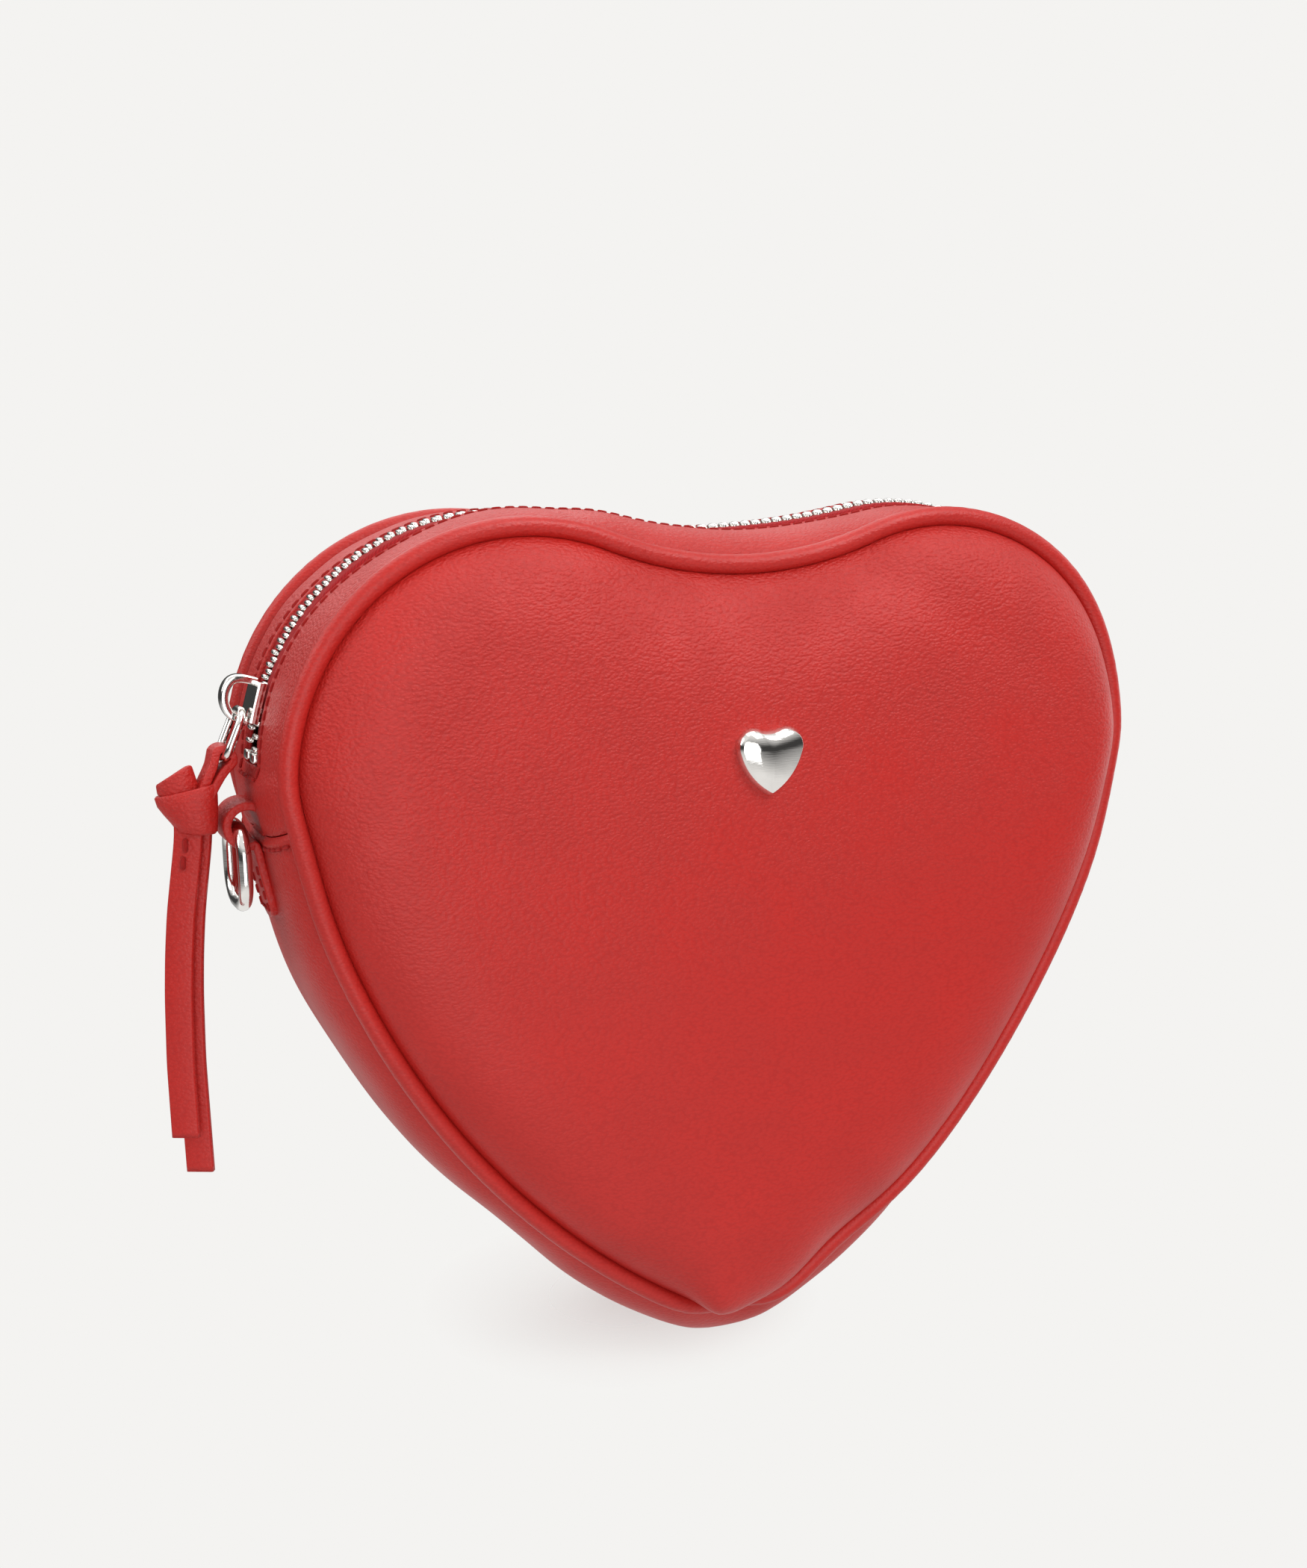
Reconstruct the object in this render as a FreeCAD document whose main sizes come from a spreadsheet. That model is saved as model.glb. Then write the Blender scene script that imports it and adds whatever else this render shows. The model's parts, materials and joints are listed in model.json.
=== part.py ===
"""Heart-shaped zip purse, standing on its tip.

The front faces -Y, +X is to the right of someone who looks at the front, and the
origin is on the floor, in the middle of the flat spot under the tip.
All lengths are in millimetres, all angles in degrees.
"""
import FreeCAD
import Part
import math
import os
import Sketcher

SIZES = (
    # Heart outline along the piping: round lobes, hollow dip, long sides and a round tip.
    ("heart_width", 200.0),
    ("lobe_radius", 50.8),
    ("lobe_rise", 118.7),
    ("dip_radius", 87.2),
    ("side_radius", 184.6),
    ("tip_radius", 15.0),
    ("body_depth", 50.0),
    # Gusset: how far its level middle stands out from the piping line.
    ("lobe_crown", 3.2),
    ("tip_crown", 9.0),
    ("crown_dip_radius", 200.0),
    ("crown_side_radius", 174.0),
    ("crown_margin", 0.7),
    ("shoulder_rise", 12.0),
    ("base_cut", 0.8),
    ("seam_tuck", 0.3),
    ("seam_drop", 11.5),
    ("seam_gap", 0.15),
    # Sheet stock and the slack between sewn layers.
    ("leather", 1.4),
    ("lining", 0.5),
    ("layer_gap", 0.1),
    # Corded piping.
    ("bead_radius", 2.0),
    # Puffed panels.
    ("panel_bulge", 13.0),
    ("panel_tuck", 1.5),
    ("dome_cap_radius", 800.0),
    ("dome_drop", 17.0),
    # Zip chain.
    ("slot_margin", 0.3),
    ("tape_hidden", 3.8),
    ("tape_thickness", 0.7),
    ("tape_tail", 6.0),
    ("tooth_pitch", 2.7),
    ("tooth_thickness", 1.15),
    ("tooth_reach", 0.7),
    ("tooth_leg", 2.3),
    ("tooth_grip", 0.8),
    ("tooth_height", 2.3),
    ("end_spread", 0.6),
    ("chain_end_rise", 3.0),
    ("stop_length", 2.0),
    ("slider_rise", 15.0),
    # Slider and its bridge.
    ("slider_length", 8.6),
    ("slider_plate", 1.1),
    ("slider_clearance", 0.25),
    ("slider_lip", 0.55),
    ("slider_lip_drop", 0.7),
    ("post_half_width", 0.65),
    ("bridge_radius", 5.0),
    ("bridge_bar", 1.4),
    ("bridge_width", 3.0),
    ("bridge_leg", 1.2),
    ("bridge_mouth", 0.5),
    # Oval link.
    ("link_wire", 0.85),
    ("link_length", 10.6),
    ("link_width", 8.6),
    ("link_clearance", 0.3),
    ("link_corner", 3.1),
    ("link_lean", 24.0),
    # Knotted thong.
    ("thong_width", 5.8),
    ("thong_thickness", 1.7),
    ("thong_clearance", 0.3),
    ("knot_out", 9.4),
    ("knot_drop", 7.0),
    ("knot_radius", 6.2),
    ("knot_half_height", 7.2),
    ("tail_turn", 38.0),
    ("tail_gap", 0.5),
    ("front_tail", 67.0),
    ("rear_tail", 76.0),
    # Ring tabs.
    ("tab_width", 10.0),
    ("tab_thickness", 1.8),
    ("tab_drop", 10.0),
    ("tab_tongue", 21.0),
    # Strap rings.
    ("ring_wire", 1.6),
    ("ring_height", 16.4),
    ("ring_side_gap", 1.1),
    ("ring_play", 0.5),
    ("ring_clearance", 0.3),
    # Plain stud on the front.
    ("stud_width", 16.0),
    ("stud_thickness", 2.4),
    ("stud_rise", 4.3),
    ("stud_post", 1.2),
    ("washer_half", 4.0),
    ("washer_thickness", 0.8),
    # How far a cutting tool runs past what it cuts.
    ("overrun", 20.0),
)

# Puffed panel: rings of the dome from the rim in. How far each is set in, as a share of the
# tip's radius inside the piping, its share of the rise, and its share of a layer's depth.
# The last ring stands above the round cap that ends the dome.
DOME_INSET_SHARES = (0.0, 0.2, 0.75)
DOME_RISE_SHARES = (0.0, 0.44, 1.05)
DOME_DEPTH_SHARES = (1.0, 0.75, 0.35)
# Stud: a straight edge, then a bevel, set in by a share of the tip's radius.
STUD_INSET_SHARES = (0.0, 0.0, 0.6)
STUD_RISE_SHARES = (0.0, 0.45, 1.0)
# Slider post: how much of the room between the parting teeth it fills, and its thin end.
POST_LENGTH_SHARE = 0.8
POST_TIP_SHARE = 0.12
# Strap ring: corner radius beside half its width.
RING_CORNER_SHARE = 0.78
# Knot: rings from the bottom up, as shares of its half height and of its radius.
KNOT_RISE_SHARES = (-1.0, -0.62, 0.0, 0.6, 1.0)
KNOT_SIZE_SHARES = (0.62, 0.93, 1.0, 0.86, 0.5)
# Sides of the many-sided sections that stand for round ones.
BEAD_SIDES = 6
RING_SIDES = 6
LINK_SIDES = 6
KNOT_SIDES = 12

PARTS = ("lobe_x", "lobe_z", "lobe_r", "dip_r", "side_r", "tip_z", "tip_r")
UP = FreeCAD.Vector(0, 0, 1)
ACROSS = FreeCAD.Vector(0, 1, 0)
RIGHT = FreeCAD.Vector(1, 0, 0)
ORIGIN = FreeCAD.Vector(0, 0, 0)

doc = FreeCAD.newDocument("HeartPurse")
sizes = doc.addObject("Spreadsheet::Sheet", "Sizes")
for row, (alias, value) in enumerate(SIZES, start=1):
    sizes.set("A%d" % row, alias)
    sizes.set("B%d" % row, str(value))
    sizes.setAlias("B%d" % row, alias)
worked = doc.addObject("Spreadsheet::Sheet", "Worked")
outlines = doc.addObject("Spreadsheet::Sheet", "Outlines")
doc.recompute()
nodes = []


def size(alias):
    """The value of one driving size."""
    return float(sizes.get(alias))


def keep(sheet, formulas):
    """Add worked-out sizes to a sheet, each under its own name."""
    row = len(sheet.getUsedCells()) // 2
    for alias, formula in formulas:
        row = row + 1
        sheet.set("A%d" % row, alias)
        sheet.set("B%d" % row, "=" + formula)
        sheet.setAlias("B%d" % row, alias)
    sheet.recompute()
    return [float(sheet.get(alias)) for alias, formula in formulas]


keep(
    worked,
    (
        ("tip_centre", "Sizes.tip_radius + Sizes.tip_crown - Sizes.base_cut"),
        ("lobe_centre", "tip_centre + Sizes.lobe_rise"),
        ("lobe_offset", "Sizes.heart_width / 2 - Sizes.lobe_radius"),
        ("crown_lobe", "Sizes.lobe_radius + Sizes.lobe_crown"),
        ("crown_tip", "Sizes.tip_radius + Sizes.tip_crown"),
        ("stud_centre", "lobe_centre + Sizes.stud_rise"),
        ("stud_scale", "Sizes.stud_width / Sizes.heart_width"),
        # Depths below the outside of the gusset, layer by layer.
        ("tape_top", "Sizes.leather + Sizes.layer_gap"),
        ("tape_under", "tape_top + Sizes.tape_thickness"),
        ("lining_top", "Sizes.seam_tuck + Sizes.leather + Sizes.layer_gap"),
        ("lining_under", "lining_top + Sizes.lining"),
        ("chain_depth", "tape_top + Sizes.tape_thickness / 2"),
        ("chain_lobe", "crown_lobe - chain_depth"),
        ("chain_dip", "Sizes.crown_dip_radius + chain_depth"),
        # Across the zip: teeth parted by the post, slider over them, slot round the slider.
        ("shoulder_spread", "Sizes.tooth_reach + Sizes.slider_clearance + Sizes.post_half_width"),
        ("slider_inside", "Sizes.tooth_leg + shoulder_spread + Sizes.slider_clearance"),
        ("slider_width", "2 * (slider_inside + Sizes.slider_lip)"),
        ("slot_width", "slider_width + 2 * Sizes.slot_margin"),
        ("tape_opening", "2 * (Sizes.tooth_leg - Sizes.tooth_grip)"),
        ("tape_half", "slot_width / 2 + Sizes.tape_hidden"),
        ("crown_half", "tape_half + Sizes.crown_margin"),
        # Where the gusset and the panels end beside the piping.
        ("seam_y", "Sizes.body_depth / 2 - Sizes.bead_radius - Sizes.layer_gap"),
        ("seam_z", "lobe_centre - Sizes.seam_drop"),
        ("rim_y", "Sizes.body_depth / 2 - Sizes.panel_tuck"),
        ("dome_rise", "Sizes.panel_bulge + Sizes.panel_tuck"),
        ("panel_front", "rim_y + dome_rise"),
        ("panel_inset", "Sizes.bead_radius + Sizes.layer_gap"),
        ("dome_reach", "Sizes.tip_radius - panel_inset"),
        ("cap_centre", "lobe_centre - Sizes.dome_drop"),
        ("pad_depth", "Sizes.leather + Sizes.layer_gap"),
        ("lining_y", "seam_y - Sizes.lining"),
        # Slider, measured outwards from the lobe's centre and turned down to its place.
        ("slider_turn", "asin(Sizes.slider_rise / chain_lobe)"),
        ("channel_half", "Sizes.tooth_height / 2 + Sizes.slider_clearance"),
        ("slider_sag", "Sizes.slider_length ^ 2 / (8 * chain_lobe)"),
        ("top_plate_in", "chain_lobe + channel_half"),
        ("top_plate_out", "top_plate_in + Sizes.slider_plate"),
        ("low_plate_out", "chain_lobe - channel_half - slider_sag"),
        ("low_plate_in", "low_plate_out - Sizes.slider_plate"),
        ("bridge_centre", "top_plate_out + Sizes.bridge_leg"),
        ("bridge_eye", "Sizes.bridge_radius - Sizes.bridge_bar"),
        # Link and thong, hanging from the bridge.
        ("link_drop", "bridge_eye - Sizes.link_wire - Sizes.link_clearance"),
        ("link_reach", "link_drop + Sizes.link_length"),
        ("bridge_x", "-lobe_offset - bridge_centre * cos(slider_turn)"),
        ("bridge_z", "lobe_centre + bridge_centre * sin(slider_turn)"),
        ("link_top_x", "bridge_x - link_drop * sin(Sizes.link_lean * 1 deg)"),
        ("link_top_z", "bridge_z - link_drop * cos(Sizes.link_lean * 1 deg)"),
        ("link_low_x", "bridge_x - link_reach * sin(Sizes.link_lean * 1 deg)"),
        ("link_low_z", "bridge_z - link_reach * cos(Sizes.link_lean * 1 deg)"),
        ("link_bend", "max(Sizes.thong_width / 2 - Sizes.link_width / 2 + Sizes.link_corner; 0)"),
        ("link_inner", "Sizes.link_corner - Sizes.link_wire"),
        ("link_under", "Sizes.link_corner - sqrt(link_inner ^ 2 - min(link_bend; link_inner) ^ 2)"),
        ("thong_eye", "link_under + Sizes.thong_clearance"),
        ("thong_loop", "thong_eye + Sizes.thong_thickness"),
        ("knot_x", "link_low_x - Sizes.knot_out"),
        ("knot_z", "link_low_z - Sizes.knot_drop"),
        # Strap ring: its round shoulders, which turn in the tab's eye, set the eye's size.
        ("ring_half", "Sizes.tab_width / 2 + Sizes.ring_side_gap + Sizes.ring_wire"),
        ("ring_corner", "ring_half * %s" % RING_CORNER_SHARE),
        ("ring_bend", "max(Sizes.tab_width / 2 - ring_half + ring_corner; 0)"),
        ("ring_under", "ring_corner - sqrt((ring_corner - Sizes.ring_wire) ^ 2 - ring_bend ^ 2)"),
        ("ring_hang", "Sizes.ring_play - Sizes.layer_gap"),
        ("tab_eye", "ring_under + Sizes.ring_play"),
        # Tab, off the side of the gusset.
        ("tab_z", "lobe_centre - Sizes.tab_drop"),
        ("tab_outside", "Sizes.layer_gap + Sizes.tab_thickness"),
        ("tab_stand_off", "tab_outside + Sizes.ring_wire + Sizes.ring_clearance"),
        ("tab_x", "lobe_offset + sqrt(crown_lobe ^ 2 - Sizes.tab_drop ^ 2) + tab_stand_off"),
        ("tab_loop", "tab_eye + Sizes.tab_thickness"),
        ("tongue_z", "tab_z - Sizes.tab_tongue"),
        # Square washer behind the panel, let into the pad, and the stud's post through it.
        ("washer_off", "stud_centre - cap_centre + 2 * Sizes.washer_half"),
        ("cap_fall", "Sizes.dome_cap_radius - sqrt(Sizes.dome_cap_radius ^ 2 - washer_off ^ 2)"),
        ("washer_depth", "pad_depth + cap_fall"),
        ("washer_y", "-panel_front + washer_depth"),
        ("post_length", "washer_depth + Sizes.washer_thickness + Sizes.stud_thickness / 2"),
    ),
)


def found(alias):
    """The value of one worked-out size."""
    return float(worked.get(alias))


SEAM = {
    "lobe_x": "Worked.lobe_offset",
    "lobe_z": "Worked.lobe_centre",
    "lobe_r": "Sizes.lobe_radius",
    "dip_r": "Sizes.dip_radius",
    "side_r": "Sizes.side_radius",
    "tip_z": "Worked.tip_centre",
    "tip_r": "Sizes.tip_radius",
}
CROWN = dict(
    SEAM,
    lobe_r="Worked.crown_lobe",
    dip_r="Sizes.crown_dip_radius",
    side_r="Sizes.crown_side_radius",
    tip_r="Worked.crown_tip",
)


def heart_sizes(name, family, inset, scale, about, to):
    """Work out the sizes of one heart outline, set in from its family's and scaled."""
    signs = {"lobe_r": "-", "side_r": "-", "tip_r": "-", "dip_r": "+"}
    formulas = []
    for part in PARTS:
        formula = family[part]
        if part in signs:
            formula = "(%s %s (%s)) * (%s)" % (formula, signs[part], inset, scale)
        elif part == "lobe_x":
            formula = "%s * (%s)" % (formula, scale)
        else:
            formula = "%s + (%s - %s) * (%s)" % (to, formula, about, scale)
        formulas.append(("%s_%s" % (name, part), formula))
    return keep(outlines, formulas)


def heart_arcs(values):
    """Centre, radius and end angles of the six tangent arcs of a heart, anticlockwise."""
    x, z, lobe_r, dip_r, side_r, low_z, tip_r = values
    dip_z = z + math.sqrt((dip_r + lobe_r) ** 2 - x ** 2)
    to_lobe = side_r - lobe_r
    to_tip = side_r - tip_r
    span = math.hypot(x, z - low_z)
    along = (to_lobe ** 2 - to_tip ** 2 + span ** 2) / (2 * span)
    aside = math.sqrt(to_lobe ** 2 - along ** 2)
    ux = -x / span
    uz = (low_z - z) / span
    side_x = x + along * ux + aside * uz
    side_z = z + along * uz - aside * ux
    at_lobe = math.atan2(z - side_z, x - side_x)
    at_tip = math.atan2(low_z - side_z, -side_x)
    at_dip = math.atan2(dip_z - z, -x)
    return (
        (side_x, side_z, side_r, at_tip, at_lobe),
        (x, z, lobe_r, at_lobe, at_dip),
        (0, dip_z, dip_r, 2 * math.pi - at_dip, math.pi + at_dip),
        (-x, z, lobe_r, math.pi - at_dip, math.pi - at_lobe),
        (-side_x, side_z, side_r, math.pi - at_lobe, math.pi - at_tip),
        (0, low_z, tip_r, math.pi - at_tip, 2 * math.pi + at_tip),
    )


def heart_sketch(name, y, family, inset, scale="1", about="0", to="0"):
    """Sketch of a heart outline, upright in the plane at y, every arc tangent to the next."""
    values = heart_sizes(name, family, inset, scale, about, to)
    sketch = doc.addObject("Sketcher::SketchObject", name)
    sketch.Placement = FreeCAD.Placement(ORIGIN, FreeCAD.Rotation(RIGHT, 90))
    for centre_x, centre_z, radius, start, end in heart_arcs(values):
        circle = Part.Circle(FreeCAD.Vector(centre_x, centre_z, 0), UP, radius)
        sketch.addGeometry(Part.ArcOfCircle(circle, start, end), False)
    right_side, right_lobe, dip, left_lobe, left_side, tip = range(len(sketch.Geometry))
    start, end, centre = 1, 2, 3
    for joint in (
        (right_side, end, right_lobe, start),
        (right_lobe, end, dip, end),
        (dip, start, left_lobe, start),
        (left_lobe, end, left_side, start),
        (left_side, end, tip, start),
        (tip, end, right_side, start),
    ):
        sketch.addConstraint(Sketcher.Constraint("Tangent", *joint))
    sketch.addConstraint(Sketcher.Constraint("Equal", right_lobe, left_lobe))
    sketch.addConstraint(Sketcher.Constraint("Equal", right_side, left_side))
    sketch.addConstraint(Sketcher.Constraint("Symmetric", right_lobe, centre, left_lobe, centre, -2))
    sketch.addConstraint(Sketcher.Constraint("PointOnObject", tip, centre, -2))
    driven = (
        ("DistanceX", -1, 1, right_lobe, centre, values[0]),
        ("DistanceY", -1, 1, right_lobe, centre, values[1]),
        ("Radius", right_lobe, values[2]),
        ("Radius", dip, values[3]),
        ("Radius", right_side, values[4]),
        ("DistanceY", -1, 1, tip, centre, values[5]),
        ("Radius", tip, values[6]),
    )
    for part, constraint in zip(PARTS, driven):
        index = sketch.addConstraint(Sketcher.Constraint(*constraint))
        sketch.renameConstraint(index, part)
        sketch.setExpression("Constraints.%s" % part, "Outlines.%s_%s" % (name, part))
    sketch.setExpression("Placement.Base.y", y)
    return sketch


def loft(name, sections):
    """Closed body through heart sketches, straight from each one to the next."""
    body = doc.addObject("Part::Loft", name)
    body.Sections = sections
    body.Solid = True
    body.Ruled = True
    return body


def bind(thing, **formulas):
    """Tie properties of an object to formulas of the named sizes."""
    for name, formula in formulas.items():
        thing.setExpression(name, formula)
    return thing


def place(thing, x="0", y="0", z="0", axis=None, angle="0"):
    """Put an object at a worked-out place, turned about an axis."""
    if axis is not None:
        thing.Placement = FreeCAD.Placement(ORIGIN, FreeCAD.Rotation(axis, 90))
        thing.setExpression("Placement.Rotation.Angle", angle)
    for letter, formula in zip("xyz", (x, y, z)):
        thing.setExpression("Placement.Base.%s" % letter, formula)
    return thing


def box(name, length, width, height, **where):
    """Box from its low corner."""
    solid = doc.addObject("Part::Box", name)
    bind(solid, Length=length, Width=width, Height=height)
    return place(solid, **where)


def rod(name, radius, length, along, **where):
    """Round rod that runs along +Y or +X from its place."""
    solid = doc.addObject("Part::Cylinder", name)
    bind(solid, Radius=radius, Height=length)
    if along == "y":
        return place(solid, axis=RIGHT, angle="-90 deg", **where)
    return place(solid, axis=ACROSS, angle="90 deg", **where)


def cut(name, base, tool):
    """Base with the tool's room taken away."""
    solid = doc.addObject("Part::Cut", name)
    solid.Base = base
    solid.Tool = tool
    return solid


def common(name, first, second):
    """What two solids share."""
    solid = doc.addObject("Part::Common", name)
    solid.Base = first
    solid.Tool = second
    return solid


def fuse(name, *solids):
    """Several solids made one."""
    solid = doc.addObject("Part::MultiFuse", name)
    solid.Shapes = list(solids)
    solid.Refine = True
    return solid


def mirror(name, source, normal):
    """The same piece on the other side."""
    solid = doc.addObject("Part::Mirroring", name)
    solid.Source = source
    solid.Normal = normal
    return solid


def node(label, thing):
    """Name a finished piece."""
    thing.Label = label
    nodes.append(thing)
    return thing


def prism(name, section, low, high):
    """Heart section carried along Y."""
    solid = doc.addObject("Part::Extrusion", name)
    solid.Base = section
    solid.DirMode = "Custom"
    solid.Dir = ACROSS
    solid.Solid = True
    section.setExpression("Placement.Base.y", low)
    solid.setExpression("LengthFwd", "%s - (%s)" % (high, low))
    return solid


def gusset_shape(name, depth):
    """Side strip's solid: the level crown, cut off by shoulders that rise from both seams."""
    low = "-Worked.seam_y"
    high = "Worked.seam_y"
    tucked = "Sizes.seam_tuck + %s" % depth
    raised = "%s - Sizes.shoulder_rise" % depth
    crown = prism(name + "_crown", heart_sketch(name + "_crown_line", low, CROWN, depth), low, high)
    shoulders = loft(
        name + "_shoulders",
        [
            heart_sketch(name + "_front_seam", low, SEAM, tucked),
            heart_sketch(name + "_front_rise", "-Worked.crown_half", SEAM, raised),
            heart_sketch(name + "_back_rise", "Worked.crown_half", SEAM, raised),
            heart_sketch(name + "_back_seam", high, SEAM, tucked),
        ],
    )
    return common(name, crown, shoulders)


def dome_shape(name, depth, rings=(0, 1, 2)):
    """Puffed panel's solid, a given depth below its outside: rolled edges under a round cap."""
    sections = []
    for ring in rings:
        inset = "Worked.panel_inset + Worked.dome_reach * %s" % DOME_INSET_SHARES[ring]
        sections.append(
            heart_sketch(
                "%s_ring_%d" % (name, ring),
                "%s - Worked.rim_y - Worked.dome_rise * %s" % (depth, DOME_RISE_SHARES[ring]),
                SEAM,
                "%s + %s * %s" % (inset, depth, DOME_DEPTH_SHARES[ring]),
            )
        )
    cap = doc.addObject("Part::Sphere", name + "_cap")
    bind(cap, Radius="Sizes.dome_cap_radius")
    place(cap, y="%s - Worked.panel_front + Sizes.dome_cap_radius" % depth, z="Worked.cap_centre")
    return common(name, loft(name + "_roll", sections), cap)


def slab(name, low, high, height="2 * Sizes.heart_width"):
    """Wide upright block over a stretch of Y, from a height up."""
    return box(
        name,
        "2 * Sizes.heart_width",
        "%s - (%s)" % (high, low),
        height,
        x="-Sizes.heart_width",
        y=low,
    )


def make_panels():
    """Front and back panels, the foam pads that puff them, and the holes for the stud."""
    leather = cut("panel_shell", dome_shape("panel_top", "0"), dome_shape("panel_under", "Sizes.leather"))
    level = slab("pad_room", "-Worked.panel_front", "-Worked.rim_y")
    pad = common("pad", dome_shape("pad_dome", "Worked.pad_depth", (0, 2)), level)
    hole = rod(
        "post_hole",
        "Sizes.stud_post + Sizes.layer_gap",
        "Sizes.overrun",
        "y",
        y="-Worked.panel_front - Sizes.overrun / 2",
        z="Worked.stud_centre",
    )
    seat_depth = "Worked.washer_depth + Sizes.washer_thickness + Sizes.layer_gap"
    seat = washer_plate("washer_seat", "Sizes.layer_gap", "-Worked.panel_front", seat_depth)
    node("front_panel", cut("front_panel", leather, hole))
    node("back_panel", mirror("back_panel", leather, ACROSS))
    node("front_pad", cut("front_pad", pad, seat))
    node("back_pad", mirror("back_pad", pad, ACROSS))


def washer_plate(name, margin, y, thickness):
    """Square plate round the stud's post, from y back, wider by a margin all round."""
    half = "(Sizes.washer_half + %s)" % margin
    return box(
        name,
        "2 * " + half,
        thickness,
        "2 * " + half,
        x="-" + half,
        y=y,
        z="Worked.stud_centre - " + half,
    )


def make_stud():
    """Plain heart stud with a post through the panel, and the square washer behind it."""
    sections = []
    for ring, (inset, rise) in enumerate(zip(STUD_INSET_SHARES, STUD_RISE_SHARES)):
        sections.append(
            heart_sketch(
                "stud_ring_%d" % ring,
                "-Worked.panel_front - Sizes.stud_thickness * %s" % rise,
                SEAM,
                "Sizes.tip_radius * %s" % inset,
                scale="Worked.stud_scale",
                about="Worked.lobe_centre",
                to="Worked.stud_centre",
            )
        )
    where = {"y": "-Worked.panel_front - Sizes.stud_thickness / 2", "z": "Worked.stud_centre"}
    post = rod("stud_post", "Sizes.stud_post", "Worked.post_length", "y", **where)
    bore = rod("washer_bore", "Sizes.stud_post + Sizes.layer_gap", "Sizes.overrun", "y", **where)
    node("front_stud", fuse("front_stud", loft("stud_heart", sections), post))
    plate = washer_plate("washer_plate", "0", "Worked.washer_y", "Sizes.washer_thickness")
    node("stud_washer", cut("stud_washer", plate, bore))


def make_gusset():
    """Side strip in two lengths, the upper one with its zip window, and the lining bag."""
    strip = cut("gusset_strip", gusset_shape("gusset_out", "0"), gusset_shape("gusset_in", "Sizes.leather"))
    edges = ("-Worked.seam_y", "Worked.seam_y")
    sides = ("-Worked.lining_y", "Worked.lining_y")
    outer_line = heart_sketch("lining_out_line", edges[0], SEAM, "Worked.lining_top")
    inner_line = heart_sketch("lining_in_line", sides[0], SEAM, "Worked.lining_under")
    bag = cut("lining_bag", prism("lining_out", outer_line, *edges), prism("lining_in", inner_line, *sides))
    low = slab("below_seam", "-Sizes.body_depth", "Sizes.body_depth", "Worked.seam_z - Sizes.seam_gap / 2")
    high = place(
        slab("above_seam", "-Sizes.body_depth", "Sizes.body_depth"),
        x="-Sizes.heart_width",
        y="-Sizes.body_depth",
        z="Worked.seam_z + Sizes.seam_gap / 2",
    )
    window = place(
        slab("zip_window", "-Worked.slot_width / 2", "Worked.slot_width / 2"),
        x="-Sizes.heart_width",
        y="-Worked.slot_width / 2",
        z="Worked.lobe_centre",
    )
    node("lower_gusset", common("lower_gusset", strip, low))
    node("upper_gusset", cut("upper_gusset", common("upper_gusset_strip", strip, high), window))
    node("lining", cut("lining", bag, window))


def ring_section(name, radius, sides, path):
    """Many-sided section, square to the start of a path."""
    section = doc.addObject("Part::RegularPolygon", name)
    section.Polygon = sides
    section.setExpression("Circumradius", radius)
    edge = path.Shape.Edges[0]
    start = edge.valueAt(edge.FirstParameter)
    heading = edge.tangentAt(edge.FirstParameter)
    section.Placement = FreeCAD.Placement(start, FreeCAD.Rotation(UP, heading))
    return section


def sweep(name, section, path):
    """Section drawn along a closed path."""
    solid = doc.addObject("Part::Sweep", name)
    solid.Sections = [section]
    solid.Spine = (path, [])
    solid.Solid = True
    solid.Frenet = False
    return solid


def make_piping():
    """Corded piping round the front and the back."""
    path = heart_sketch("piping_path", "-Sizes.body_depth / 2", SEAM, "0")
    doc.recompute()
    bead = ring_section("bead_section", "Sizes.bead_radius", BEAD_SIDES, path)
    front = node("front_piping", sweep("front_piping", bead, path))
    node("back_piping", mirror("back_piping", front, ACROSS))


def chain_place(along):
    """Point of the chain's middle line, that far from the left end, and its outward angle."""
    lobe_r = found("chain_lobe")
    dip_r = found("chain_dip")
    dip_z = found("lobe_centre") + math.sqrt((dip_r + lobe_r) ** 2 - found("lobe_offset") ** 2)
    tangent = math.asin((dip_z - found("lobe_centre")) / (dip_r + lobe_r))
    lobe_length = lobe_r * (math.pi - tangent)
    half_dip = dip_r * (math.pi / 2 - tangent)
    from_middle = along - lobe_length - half_dip
    side = math.copysign(1, from_middle)
    if abs(from_middle) < half_dip:
        swing = from_middle / dip_r
        point = FreeCAD.Vector(dip_r * math.sin(swing), 0, dip_z - dip_r * math.cos(swing))
        return point, math.pi / 2 + swing
    turn = math.pi - tangent - (abs(from_middle) - half_dip) / lobe_r
    height = found("lobe_centre") + lobe_r * math.sin(turn)
    point = FreeCAD.Vector(side * (found("lobe_offset") + lobe_r * math.cos(turn)), 0, height)
    return point, math.pi / 2 - side * (math.pi / 2 - turn)


def chain_length():
    """Length of the chain's middle line, from slot end to slot end."""
    lobe_r = found("chain_lobe")
    dip_r = found("chain_dip")
    tangent = math.acos(found("lobe_offset") / (dip_r + lobe_r))
    return 2 * lobe_r * (math.pi - tangent) + 2 * dip_r * (math.pi / 2 - tangent)


def chain_spread(along):
    """How far each row stands aside: parted from the slider's tail to the left end."""
    middle = found("chain_lobe") * math.radians(found("slider_turn"))
    tail = middle + size("slider_length") / 2
    shoulder = middle - size("slider_length") / 2
    if along >= tail:
        return 0
    if along >= shoulder:
        return found("shoulder_spread") * (tail - along) / size("slider_length")
    past = (shoulder - along) / shoulder
    return found("shoulder_spread") + size("end_spread") * past


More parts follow.
